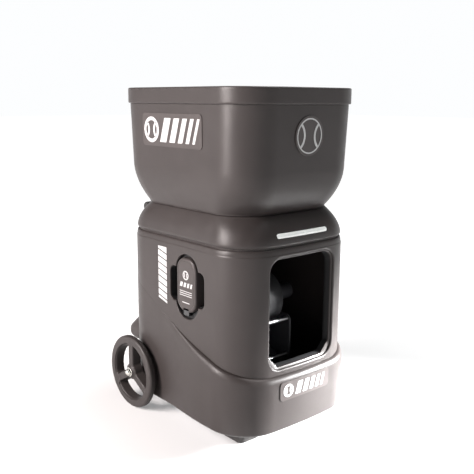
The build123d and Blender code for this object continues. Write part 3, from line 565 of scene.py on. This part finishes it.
def body_rows():
    """The body's skin in rows: up the outside from the floor's edge, over the rim and down the inside."""
    outline, _ = BODY_PLAN.outline()
    proud, share = ledge_reach()
    crest = sweep_height(outline[:, 1])
    groove = 1.3 * share

    def row(offset, z):
        return BODY_PLAN.row(offset, z)

    tuck, inner_edge, floor_top = 3.0, 15, 45.8
    low = BODY_BOTTOM + BASE_EDGE
    ledge_foot = crest - LEDGE_TALL
    first = radians(50)
    rows = [row(proud - inner_edge, floor_top), row(proud - inner_edge, low - BASE_EDGE * sin(first) + 0.3)]
    rows += [row(proud - tuck - BASE_EDGE * (1 - cos(first)) - 0.8, low - BASE_EDGE * sin(first) - 0.2)]
    for turn in np.linspace(first, 0, 8):
        rows.append(row(proud - tuck - BASE_EDGE * (1 - cos(turn)), low - BASE_EDGE * sin(turn)))
    for share_up in np.linspace(0, 1, 30)[1:]:
        drawn_in = tuck * max(0.0, 1 - share_up * 2.2) ** 2
        rows.append(row(proud - drawn_in, mix(low, ledge_foot, share_up)))
    for turn in np.linspace(0, pi / 2, 13)[1:]:
        rows.append(row(proud * cos(turn), crest - LEDGE_TALL * (1 - sin(turn))))
    rows += [row(-groove, crest + 0.2), row(-groove, crest + 1.7), row(0.0, crest + 2.4)]
    for share_up in np.linspace(0, 1, 46)[1:]:
        rows.append(row(0.0, mix(crest + 2.4, BODY_RIM, share_up)))
    rows += [row(-0.1, BODY_RIM + 0.6), row(-0.75, BODY_RIM + 1.4), row(-0.95, BODY_RIM + 2.6)]
    for turn in np.linspace(0, pi / 2, 10)[1:]:
        rows.append(row(-1.0 - 4.2 * (1 - cos(turn)), BODY_RIM + 2.6 + 12.0 * sin(turn)))
    rows += [row(-7.5, BODY_RIM + 14.6), row(-7.5, BODY_RIM - 3)]
    for share_down in np.linspace(0, 1, 16):
        rows.append(row(-WALL, mix(BODY_RIM - 8, crest + 1.0, share_down)))
    rows.append(row(proud - WALL, ledge_foot - 4))
    for share_down in np.linspace(0, 1, 8)[1:]:
        rows.append(row(proud - WALL, mix(ledge_foot - 4, floor_top, share_down)))
    return rows


def body_shell():
    """The body with its window, its rear opening, the pack's dock and finger recess, and the axle's holes."""
    body = shell("body_shell_skin", body_rows())
    cutters = [window_cutter(), rear_cutter(), axle_cutter(-1), axle_cutter(1)]
    cutters.append(side_cutter(43, 78, 42, DOCK_Y, DOCK_Z))
    cutters.append(side_cutter(65.5, 42.5, 16, FINGER_Y, FINGER_Z))
    carve(body, cutters)
    finish_piece(body, "housing", "shell_plastic", "body_shell")


def under_body():
    """A dark skirt under the body's edge and the floor plate inside it."""
    proud, _ = ledge_reach()
    profile = ((-12, 44.5), (-12, 39.0), (-12.6, 38.4), (-17, 38.4), (-17, 44.5))
    skirt = [BODY_PLAN.row(proud + offset, z) for offset, z in profile]
    finish_piece(shell("base_skirt", skirt), "housing", "black_plastic")
    rows = [BODY_PLAN.row(proud - 15.5, z) for z in (46, 50)]
    plate = shell("chassis_plate_skin", rows, loop=False, caps=True)
    finish_piece(plate, "housing", "zinc_steel", "chassis_plate")


def window_ring(grow, depth, chamfer=0.0):
    """The window's outline at a depth behind the front face; chamfer cuts the lower corners off."""
    points = []
    limit = WINDOW["half_u"] + WINDOW["half_v"] - chamfer
    for u, v in rounded(**WINDOW, grow=grow, per_side=24):
        over = max(0.0, abs(u) - v - limit) / 2 if chamfer else 0.0
        u -= over if u > 0 else -over
        points.append((u, BODY_PLAN.front(u) + depth, WINDOW_Z + v + over))
    return points


def window_frame():
    """A sill in the body's colour that fills the lower corners, and the black frame behind it."""
    steps = ((0.2, 5.0, 0), (-2.6, 5.6, 0), (-4.2, 6.4, 30), (-5.2, 8.2, 36), (-5.2, 9.4, 36), (0.2, 9.4, 0))
    sill_rows = [window_ring(grow, depth, chamfer) for grow, depth, chamfer in steps]
    finish_piece(shell("window_sill", sill_rows), "housing", "shell_plastic")
    steps = ((0.2, 9.6), (-4.6, 9.6), (-6.0, 16.0), (-7.0, 20.0), (-7.0, 24.0), (-4.0, 24.0), (0.2, 13.0))
    frame_rows = [window_ring(grow, depth, 37 if grow < -4.5 else 0) for grow, depth in steps]
    finish_piece(shell("window_frame", frame_rows), "housing", "black_plastic", "window_bezel")


# ---- cover and lamp -------------------------------------------------------------------
def lamp_ring(grow, depth):
    """The lamp's outline at a depth behind the cover's front."""
    outline = rounded(**LAMP, grow=grow)
    return [(u, cover_plan(LAMP_Z + v).front(u) + depth, LAMP_Z + v) for u, v in outline]


def top_cover():
    """The cover with its rounded foot, the neck that the hopper stands on, and the lamp's slot."""
    def row(offset, z):
        return cover_plan(z).row(offset, z)

    neck_hole = Plan(148, 184, 78, 12)
    foot = COVER_BOTTOM
    rows = [row(-8.0, foot + 4), row(-8.0, foot + 0.4), row(-6.0, foot)]
    for turn in np.linspace(0, pi / 2, 10)[1:]:
        rows.append(row(-6.0 * (1 - sin(turn)), foot + 9.0 * (1 - cos(turn))))
    rows += [row(0, z) for z in np.linspace(foot + 9, COVER_TOP - 1.4, 28)[1:]]
    rows += [cover_plan(COVER_TOP - 1).row(-0.9, COVER_TOP - 0.6), row(-2.2, COVER_TOP)]
    rows += [neck_hole.row(0, COVER_TOP), neck_hole.row(0, COVER_TOP - 4)]
    rows += [row(-4, z) for z in np.linspace(COVER_TOP - 4.5, foot + 9, 14)]
    cover = shell("top_cover_skin", rows)
    tongue = [(-8.0, 456), (-8.0, 478), (-10.5, 478), (-10.5, 456)]
    join(cover, shell("tongue", [BODY_PLAN.row(offset, z) for offset, z in tongue]))
    slot = [lamp_ring(g, d) for g, d in ((1.6, -12), (1.2, 0.0), (0.5, 0.6), (0.4, 1.5), (0.4, 12))]
    carve(cover, [fan_ended("lamp_cutter", slot)])
    finish_piece(cover, "housing", "shell_plastic", "top_cover")


def light_bar():
    """A dark channel and a pillowed diffusing lens in it."""
    channel_steps = ((0.3, 0.6), (-0.9, 0.6), (-0.9, 5.5), (0.3, 5.5))
    channel = shell("lamp_channel", [lamp_ring(grow, depth) for grow, depth in channel_steps])
    finish_piece(channel, "housing", "gloss_black")
    lens_steps = ((-1.1, 5.0), (-1.1, 0.9), (-1.5, 0.1), (-2.4, -0.35), (-4.0, -0.6), (-5.6, -0.7))
    lens = fan_ended("lamp_lens_skin", [lamp_ring(grow, depth) for grow, depth in lens_steps])
    finish_piece(lens, "housing", "lamp_lens", "light_bar_lens")


# ---- hopper ---------------------------------------------------------------------------
def hopper():
    """The open hopper in rows: up the outside from its throat, over the lip and down the inside."""
    def row(grow, z):
        return hopper_plan(z, grow).row(0, z)

    def lip(grow, z):
        return hopper_plan(HOPPER_LIP, grow).row(0, z)

    throat = Plan(143, 179, 73, 12)
    rows = [throat.row(0, 543.8), throat.row(0, 541.3), throat.row(1, 540.3)]
    rows += [row(-1, 540.35), row(1.0, 540.7), row(1.5, 541.6), row(1.0, 542.5), row(0.0, 543.2)]
    rows += [row(0, z) for z in np.linspace(543.2, HOPPER_CURVE_TOP, 30)[1:]]
    rows += [row(0, z) for z in np.linspace(HOPPER_CURVE_TOP, HOPPER_LIP - 1.4, 20)[1:]]
    rows += [row(-0.5, HOPPER_LIP - 0.9), lip(-0.5, HOPPER_LIP + 0.2), lip(2.0, HOPPER_LIP + 0.2)]
    rows += [lip(3.8, HOPPER_LIP + 0.6), lip(4.7, HOPPER_LIP + 1.6), lip(LIP_STEP, HOPPER_LIP + 3.2)]
    rows += [lip(LIP_STEP, z) for z in np.linspace(HOPPER_LIP + 3.2, HOPPER_TOP - 3, 8)[1:]]
    for turn in np.linspace(0, pi, 9)[1:-1]:
        rows.append(lip(mix(LIP_STEP, -HOPPER_WALL, (1 - cos(turn)) / 2), HOPPER_TOP - 3 + 3 * sin(turn)))
    rows += [lip(-HOPPER_WALL, z) for z in (HOPPER_TOP - 3, 800.0, HOPPER_LIP)]
    rows += [row(-HOPPER_WALL, z) for z in np.linspace(HOPPER_LIP - 1.4, HOPPER_CURVE_TOP, 10)]
    rows += [row(-HOPPER_WALL, z) for z in np.linspace(HOPPER_CURVE_TOP, 552, 22)[1:]]
    rows += [row(-HOPPER_WALL - 3, 548.5), row(-HOPPER_WALL - 8, 546)]
    finish_piece(shell("hopper_skin", rows), "hopper_body", "shell_plastic", "hopper")


# ---- running gear ---------------------------------------------------------------------
SPOKE_CUT = ((3.4, 225), (2.6, 213.2), (1.2, 211.8), (0.3, 210.6), (0, 209), (-3.6, 191), (-4.2, 180))


def spoke_window(grow):
    """Points round the opening between two spokes, which looks along +u from the wheel's centre."""
    low, high, half, fillet = 21.0 - grow, 73.0 + grow, 10.0 - grow, 6.0 + grow
    lean = radians(60)
    along, inward = np.array((cos(lean), sin(lean))), np.array((sin(lean), -cos(lean)))
    start = np.array((half / sin(lean), 0.0)) + inward * fillet

    def centre(reach):
        middle = start @ along
        return start + along * (-middle + sqrt(middle ** 2 - start @ start + reach ** 2))

    def arc(middle, r, a, b, count):
        return [middle + r * np.array((cos(t), sin(t))) for t in np.linspace(a, b, count)]

    near, far = centre(low + fillet), centre(high - fillet)
    zero, off_line = np.zeros(2), atan2(-inward[1], -inward[0])
    near_turn, far_turn = atan2(near[1], near[0]), atan2(far[1], far[0])
    upper = arc(zero, low, 0, near_turn, 8)
    upper += arc(near, fillet, near_turn + pi, off_line, 8)[1:]
    line_start, line_end = near - inward * fillet, far - inward * fillet
    upper += [mix(line_start, line_end, t) for t in np.linspace(0, 1, 12)[1:]]
    upper += arc(far, fillet, off_line, far_turn, 8)[1:]
    upper += arc(zero, high, far_turn, 0, 20)[1:]
    lower = [np.array((u, -v)) for u, v in upper[-2:0:-1]]
    return upper + lower


def turned(name, profile, side, y, z, count=128, sharp=32):
    """A ring turned about an axis along X from a closed profile of (radius, x)."""
    rows = []
    for radius, x in profile:
        angles = np.linspace(0, 2 * pi, count, endpoint=False)
        rows.append([(side * x, y + radius * cos(a), z + radius * sin(a)) for a in angles])
    return shell(name, rows, sharp=sharp)


def wheel_profile():
    """A broad flat rim with a rounded edge, and a smaller drum behind it."""
    face, back = WHEEL_OUT, WHEEL_IN
    profile = [(BORE_R, face + 1.2), (13.5, face + 1.2), (14.6, face + 0.6), (15.4, face - 1.0)]
    profile += [(18.0, face - 2.2)]
    profile += [(r, face - 2.4) for r in (30, 45, 60, 68)]
    profile += [(71.0, face - 2.0), (73.6, face - 0.9), (75.4, face - 0.2), (78.0, face), (89.0, face)]
    for turn in np.linspace(0, pi / 2, 9)[1:]:
        profile.append((89.0 + 6.0 * sin(turn), face - 6.0 * (1 - cos(turn))))
    for groove in (206.6, 203.6):
        profile += [(WHEEL_R, groove + 0.7), (94.2, groove + 0.35)]
        profile += [(94.2, groove - 0.35), (WHEEL_R, groove - 0.7)]
    profile += [(WHEEL_R, 202.2), (94.4, 201.2), (92.5, 200.8), (86.0, 200.4), (84.6, 199.6), (84.0, 198.0)]
    profile += [(84.0, back + 2), (83.4, back + 0.6), (82.0, back), (76.0, back), (70.0, back + 0.4)]
    profile += [(30.0, back + 0.4), (18.0, back + 0.2), (16.0, back - 1.2), (BORE_R, back - 1.2)]
    return profile


def road_wheel(side, body, node):
    """A turned wheel with three openings that leave its spokes."""
    wheel = turned(node + "_skin", wheel_profile(), side, WHEEL_Y, WHEEL_R)
    cutters = []
    for index in range(3):
        turn = radians(150 + 120 * index)
        rows = []
        for grow, x in SPOKE_CUT:
            points = np.array(spoke_window(grow))
            u = points[:, 0] * cos(turn) - points[:, 1] * sin(turn)
            v = points[:, 0] * sin(turn) + points[:, 1] * cos(turn)
            rows.append(np.column_stack([np.full(len(u), side * x), WHEEL_Y + u, WHEEL_R + v]))
        cutters.append(fan_ended("spoke_cutter", rows))
    carve(wheel, cutters, 40)
    finish_piece(wheel, body, "wheel_plastic", node)


def cap_nut(side):
    """A flanged hexagon nut with a domed end."""
    start = WHEEL_OUT + 1.8

    def ring(r, x, hexagon=0.0):
        points = []
        for angle in np.linspace(0, 2 * pi, 72, endpoint=False):
            flat = cos((angle % (pi / 3)) - pi / 6)
            reach = r * mix(1.0, cos(pi / 6) / flat, hexagon)
            points.append((side * x, WHEEL_Y + reach * cos(angle), WHEEL_R + reach * sin(angle)))
        return points

    rows = [ring(6.2, start), ring(11.5, start), ring(12, start + 0.4), ring(12, start + 1.0)]
    rows += [ring(11, start + 1.5), ring(9.8, start + 1.7, 1.0), ring(9.8, start + 4.6, 1.0)]
    rows += [ring(9.2, start + 5.3, 0.5), ring(7.9, start + 5.6)]
    rows += [ring(7.6 * cos(t), start + 5.6 + 5.3 * sin(t)) for t in np.linspace(0.12, 1.45, 10)]
    return fan_ended("cap_nut", rows)


def cap_nuts():
    nuts = join(cap_nut(-1), cap_nut(1))
    nuts.name = "axle_cap_nuts_skin"
    finish_piece(nuts, "housing", "chrome", "axle_cap_nuts")


def front_feet():
    """Soft rounded feet, wider where they meet the body."""
    feet = []
    for side in (-1, 1):
        rows = []
        for z, inset in ((0, 6), (0.3, 4), (1.4, 2.2), (3.5, 1), (7, 0.3), (12, 0), (46, 0)):
            outline = rounded(34.5, 36.5, 16, -inset)
            rows.append([(side * FOOT_X + u, FOOT_Y + v, z) for u, v in outline])
        feet.append(fan_ended("foot", rows))
    both = join(*feet)
    both.name = "front_feet_skin"
    carve(both, [foot_hole(-1), foot_hole(1)])
    finish_piece(both, "housing", "rubber_black", "front_feet")


def foot_hole(side):
    """The recess for the screw under a foot."""
    ring = circle(side * FOOT_X, FOOT_Y, FOOT_HOLE_R, count=32)
    rows = [[(x, y, z) for x, y in ring] for z in (-5, 8)]
    return fan_ended("foot_hole", rows)


def rear_bumper():
    """A rounded ledge across the rear that blends into the body's corners."""
    rows = []
    corner, widest, furthest = 24, 168, 251.8
    profile = ((165, 238), (169, 246), (172, 249.6), (177, 251.6), (184, furthest), (190, 250.8),
               (196, 247.4), (204, 240), (214, 230.5), (225, 219), (237, 208), (240, 204))
    for z, back in profile:
        half_w = widest - 0.3 * (furthest - back)
        inner = min(190.0, back - corner - 2)
        points = []
        for step in np.linspace(0, pi / 2, 14):
            points.append((half_w - corner + corner * cos(step), back - corner + corner * sin(step)))
        left = [(-x, y) for x, y in reversed(points)]
        middle = [(x, back) for x in np.linspace(half_w - corner, corner - half_w, 24)[1:-1]]
        front = [(x, inner) for x in np.linspace(-half_w, half_w, 24)]
        rows.append([(x, y, z) for x, y in points + middle + left + front])
    finish_piece(fan_ended("rear_bumper_skin", rows), "housing", "shell_plastic", "rear_bumper")


# ---- battery --------------------------------------------------------------------------
def battery_pack():
    """The pill-shaped pack with a step round its face and a notch for the latch."""
    rows = []
    steps = [(0.0, 76.0), (0.0, 6.0)]
    steps += [(-5 * (1 - cos(t)), 5 * (1 - sin(t))) for t in np.linspace(0, pi / 2, 8)[1:]]
    steps += [(-6.5, 0.0), (-7.0, 0.45), (-7.8, 0.45), (-8.3, 0.0), (-16, -0.3), (-26, -0.5)]
    for grow, depth in steps:
        outline = rounded(36.5, 65, 30, grow)
        rows.append([(-PACK_FACE + depth, PACK_Y - u, PACK_Z + v) for u, v in outline])
    pack = fan_ended("battery_pack_skin", rows)
    notch = []
    for x in (-200.0, -PACK_FACE + 12):
        outline = rounded(10.4, 8, 2)
        notch.append([(x, PACK_Y + u, 302 + v) for u, v in outline])
    carve(pack, [fan_ended("notch_cutter", notch)])
    finish_piece(pack, "battery", "pack_plastic", "battery_pack")


# ---- plain marks ----------------------------------------------------------------------
def ribbon(path, half_width, spot, ring=False):
    """A thin raised band along a path of (u, v); spot turns (u, v, height) into a point."""
    thick = 0.35
    path = np.array(path, float)
    if ring:
        ahead, behind = np.roll(path, -1, 0), np.roll(path, 1, 0)
    else:
        ahead, behind = np.vstack([path[1:], path[-1:]]), np.vstack([path[:1], path[:-1]])
    run = ahead - behind
    run /= np.linalg.norm(run, axis=1)[:, None]
    off = np.column_stack([-run[:, 1], run[:, 0]]) * half_width
    verts, faces = [], []
    for (u, v), (du, dv) in zip(path, off):
        for sign, height in ((1, 0.0), (-1, 0.0), (-1, thick), (1, thick)):
            verts.append(spot(u + sign * du, v + sign * dv, height))
    last = len(path) if ring else len(path) - 1
    for i in range(last):
        a, b = i * 4, ((i + 1) % len(path)) * 4
        faces += [(a + j, a + (j + 1) % 4, b + (j + 1) % 4, b + j) for j in range(4)]
    if not ring:
        end = (len(path) - 1) * 4
        faces += [(3, 2, 1, 0), (end, end + 1, end + 2, end + 3)]
    return solid("ribbon", verts, faces)


def slab_mark(corners, spot):
    """A thin four-sided patch; its two long edges are divided so that it follows a curved face."""
    thick, steps = 0.35, 8
    (a, b, c, d) = [np.array(p, float) for p in corners]
    verts, faces = [], []
    for t in np.linspace(0, 1, steps):
        low, high = mix(a, b, t), mix(d, c, t)
        for point, height in ((low, 0.0), (high, 0.0), (high, thick), (low, thick)):
            verts.append(spot(*point, height))
    for i in range(steps - 1):
        faces += [(i * 4 + j, i * 4 + (j + 1) % 4, i * 4 + 4 + (j + 1) % 4, i * 4 + 4 + j) for j in range(4)]
    end = (steps - 1) * 4
    faces += [(3, 2, 1, 0), (end, end + 1, end + 2, end + 3)]
    return solid("patch", verts, faces)


def circle(u, v, r, start=0.0, end=360.0, count=48, ring=True):
    """Points round a circle or, with ring off, along an arc between two angles in degrees."""
    angles = np.radians(np.linspace(start, end, count, endpoint=not ring))
    return [(u + r * cos(a), v + r * sin(a)) for a in angles]


def ball_mark(u, v, r, width, spot):
    """A ring with two curved seams."""
    pieces = [ribbon(circle(u, v, r), width, spot, ring=True)]
    for side in (-1, 1):
        reach = 0.85 * r
        start, end = (128, 232) if side > 0 else (-52, 52)
        seam = circle(u + side * 1.25 * r, v, reach, start, end, 20, False)
        pieces.append(ribbon(seam, width * 0.8, spot))
    return pieces


def bar_row(u, v, height, widths, gap, slant, spot):
    """Upright bars that lean forward, side by side."""
    pieces = []
    for width in widths:
        lean = slant * height / 2
        corners = [(u - lean, v - height / 2), (u + lean, v + height / 2),
                   (u + lean + width, v + height / 2), (u - lean + width, v - height / 2)]
        pieces.append(slab_mark(corners, spot))
        u += width + gap
    return pieces


def mark_piece(name, pieces, body):
    """Joins a mark's bands and patches into one printed piece."""
    mark = join(*pieces)
    mark.name = name
    finish_piece(mark, body, "white_print")


def marks():
    """Plain rings and bars on the hopper, the base and the pack."""
    for side, name in ((-1, "left"), (1, "right")):
        def on_hopper(u, v, height, side=side):
            z = HOPPER_MARK_Z + v
            return side * (hopper_plan(z).half_w + 1.55 + height), 14 + side * u, z

        pieces = ball_mark(-78, 0, 26, 4.2, on_hopper)
        pieces += bar_row(-34, 0, 56, (25, 21, 17, 13, 9), 12, 0.35, on_hopper)
        mark_piece(f"hopper_mark_{name}", pieces, "hopper_body")

    def on_base(u, v, height):
        return u, BASE_PLAN.front(u, 1.8 + height), BASE_MARK_Z + v

    pieces = ball_mark(-56, 0, 13, 2.6, on_base) + bar_row(-30, 0, 29, (16, 14, 12, 10, 8), 8, 0.3, on_base)
    mark_piece("base_mark", pieces, "housing")

    def on_emblem(u, v, height):
        return u, hopper_plan(EMBLEM_Z + v).front(u) - 1.8 - height, EMBLEM_Z + v

    mark_piece("emblem_mark", ball_mark(0, 0, 39.5, 3.4, on_emblem), "hopper_body")

    def on_pack(u, v, height):
        return -PACK_FACE - 0.2 - height, PACK_Y - u, PACK_Z + v

    pieces = ball_mark(0, 24, 9.5, 1.6, on_pack) + bar_row(-21, 1, 11, (9, 8, 7, 6), 5, 0.3, on_pack)
    pieces += [ribbon([(-23, v), (23, v)], 0.8, on_pack) for v in (-15, -20, -25)]
    pieces += [ribbon([(-14, -42), (14, -42)], 1.0, on_pack)]
    mark_piece("pack_mark", pieces, "battery")


# ---- small fittings -------------------------------------------------------------------
def screw_head(x, y, z, r, direction):
    """A pan head with a hexagon socket, facing +Y or -Y."""
    def ring(radius, depth, hexagon=False):
        points = []
        for angle in np.linspace(0, 2 * pi, 36, endpoint=False):
            flat = cos(pi / 6) / cos((angle % (pi / 3)) - pi / 6) if hexagon else 1.0
            u, v = radius * flat * cos(angle), radius * flat * sin(angle)
            points.append((x + u, y + direction * depth, z + v))
        return points

    rows = [ring(r, -0.5), ring(r, r * 0.25), ring(r * 0.92, r * 0.45), ring(r * 0.72, r * 0.6)]
    rows += [ring(r * 0.5, r * 0.64, True), ring(r * 0.48, r * 0.2, True)]
    return fan_ended("screw", rows)


def panel_screws():
    screws = [screw_head(x, 234.2, z, 3.2, 1) for x in (-54, 54) for z in (268, 426)]
    both = join(*screws)
    both.name = "panel_screws"
    finish_piece(both, "housing", "bright_steel")


def foot_bolts():
    screws = [screw_head(side * 92, -180.2, 14, 5.5, -1) for side in (-1, 1)]
    both = join(*screws)
    both.name = "foot_bolts"
    finish_piece(both, "housing", "bright_steel")


# ---- stage ----------------------------------------------------------------------------
def stage():
    """A pale floor that glows more the further out it goes, so that it ends white."""
    corners = [(FLOOR_HALF * u, FLOOR_HALF * v, 0) for u, v in ((-1, -1), (1, -1), (1, 1), (-1, 1))]
    floor = solid("floor", corners, [(0, 1, 2, 3)])
    s = Shader("floor_paint")
    s.bsdf.inputs["Emission Color"].default_value = (1, 1, 1, 1)
    reach = s.node("ShaderNodeVectorMath", operation="LENGTH")
    s.link(s.coords, reach.inputs[0])
    s.link(s.ranged(reach.outputs["Value"], *FLOOR_GLOW, 0.4, 2.0), s.bsdf.inputs["Emission Strength"])
    s.done(s.colours(s.noise(2, 3), (0.58, 0.58, 0.58), (0.6, 0.6, 0.6)), s.ranged(s.noise(5), 0.8, 0.9))
    floor.data.materials.append(s.material)


def softbox(name, spot, target, size, power, colour=(1, 1, 1)):
    """A rectangular area lamp."""
    light = bpy.data.lights.new(name, "AREA")
    light.shape = "RECTANGLE"
    light.size, light.size_y = size
    light.energy = power
    aim(light, spot, target, colour)


def spot_lamp(name, spot, target, cone, radius, power):
    """A spot lamp whose edge fades all the way in."""
    light = bpy.data.lights.new(name, "SPOT")
    light.spot_size = radians(cone)
    light.spot_blend = 1.0
    light.shadow_soft_size = radius
    light.energy = power
    aim(light, spot, target, (1, 1, 1))


def aim(light, spot, target, colour):
    """Hangs the light at a spot, in metres, and turns it to its target."""
    light.color = colour
    obj = bpy.data.objects.new(light.name, light)
    obj.location = spot
    obj.rotation_euler = (Vector(target) - Vector(spot)).to_track_quat("-Z", "Y").to_euler()
    bpy.context.scene.collection.objects.link(obj)


def lights():
    """A pale room that is lighter towards the horizon, a warm key, a top light and a low right lamp."""
    world = bpy.data.worlds.new("studio")
    bpy.context.scene.world = world
    world.use_nodes = True
    tree = world.node_tree
    room = tree.nodes["Background"]
    room.inputs["Color"].default_value = (0.98, 0.99, 1.0, 1)
    coords = tree.nodes.new("ShaderNodeTexCoord")
    split = tree.nodes.new("ShaderNodeSeparateXYZ")
    height = tree.nodes.new("ShaderNodeMath")
    height.operation = "ABSOLUTE"
    fade = tree.nodes.new("ShaderNodeMapRange")
    limits = {"From Min": 0.14, "From Max": 0.2, "To Min": 1.0, "To Max": ROOM_LIGHT}
    for socket, value in limits.items():
        fade.inputs[socket].default_value = value
    tree.links.new(coords.outputs["Generated"], split.inputs["Vector"])
    tree.links.new(split.outputs["Z"], height.inputs[0])
    tree.links.new(height.outputs["Value"], fade.inputs["Value"])
    tree.links.new(fade.outputs["Result"], room.inputs["Strength"])
    softbox("left_box", (-2.3, 0.55, 1.35), (0, 0, 0.62), (0.8, 1.7), KEY_POWER, (1.0, 0.92, 0.9))
    softbox("top_box", (0.6, -0.25, 2.4), (0, 0, 0.3), (1.0, 1.0), TOP_POWER)
    spot_lamp("right_lamp", (1.1, -0.95, 0.4), (0.19, -0.2, 0.05), 32, 0.12, RIGHT_POWER)


def camera():
    """The camera stands in front, to the left, and looks down a little; roll is about its own axis."""
    azimuth, pitch, roll = radians(-41.04), radians(11.076), radians(0.345)
    forward = Vector((-sin(azimuth) * cos(pitch), cos(azimuth) * cos(pitch), -sin(pitch)))
    right = Vector((cos(azimuth), sin(azimuth), 0))
    up = right.cross(forward)
    across = cos(roll) * right + sin(roll) * up
    upward = -sin(roll) * right + cos(roll) * up
    data = bpy.data.cameras.new("camera")
    data.sensor_width = 36
    data.lens = 53.11
    obj = bpy.data.objects.new("camera", data)
    axes = Matrix((across, upward, -forward)).transposed().to_4x4()
    obj.matrix_world = Matrix.Translation((-1.1363, -1.3122 + CENTRE_Y, 0.7914)) @ axes
    bpy.context.scene.collection.objects.link(obj)
    bpy.context.scene.camera = obj
    bpy.context.scene.view_settings.view_transform = "Standard"


# ---- the whole scene ------------------------------------------------------------------
def paint_cad():
    """Every CAD node takes its slot's finish."""
    for part in frame["record"]["subparts"]:
        mesh = NODES[part["node"]].data
        mesh.materials.clear()
        mesh.materials.append(FINISH[part["material_slot"]])


all_finishes()
paint_cad()
camera()
stage()
lights()
body_shell()
under_body()
window_frame()
top_cover()
light_bar()
hopper()
road_wheel(-1, "left_wheel", "road_wheel_left")
road_wheel(1, "right_wheel", "road_wheel_right")
cap_nuts()
front_feet()
rear_bumper()
battery_pack()
marks()
panel_screws()
foot_bolts()
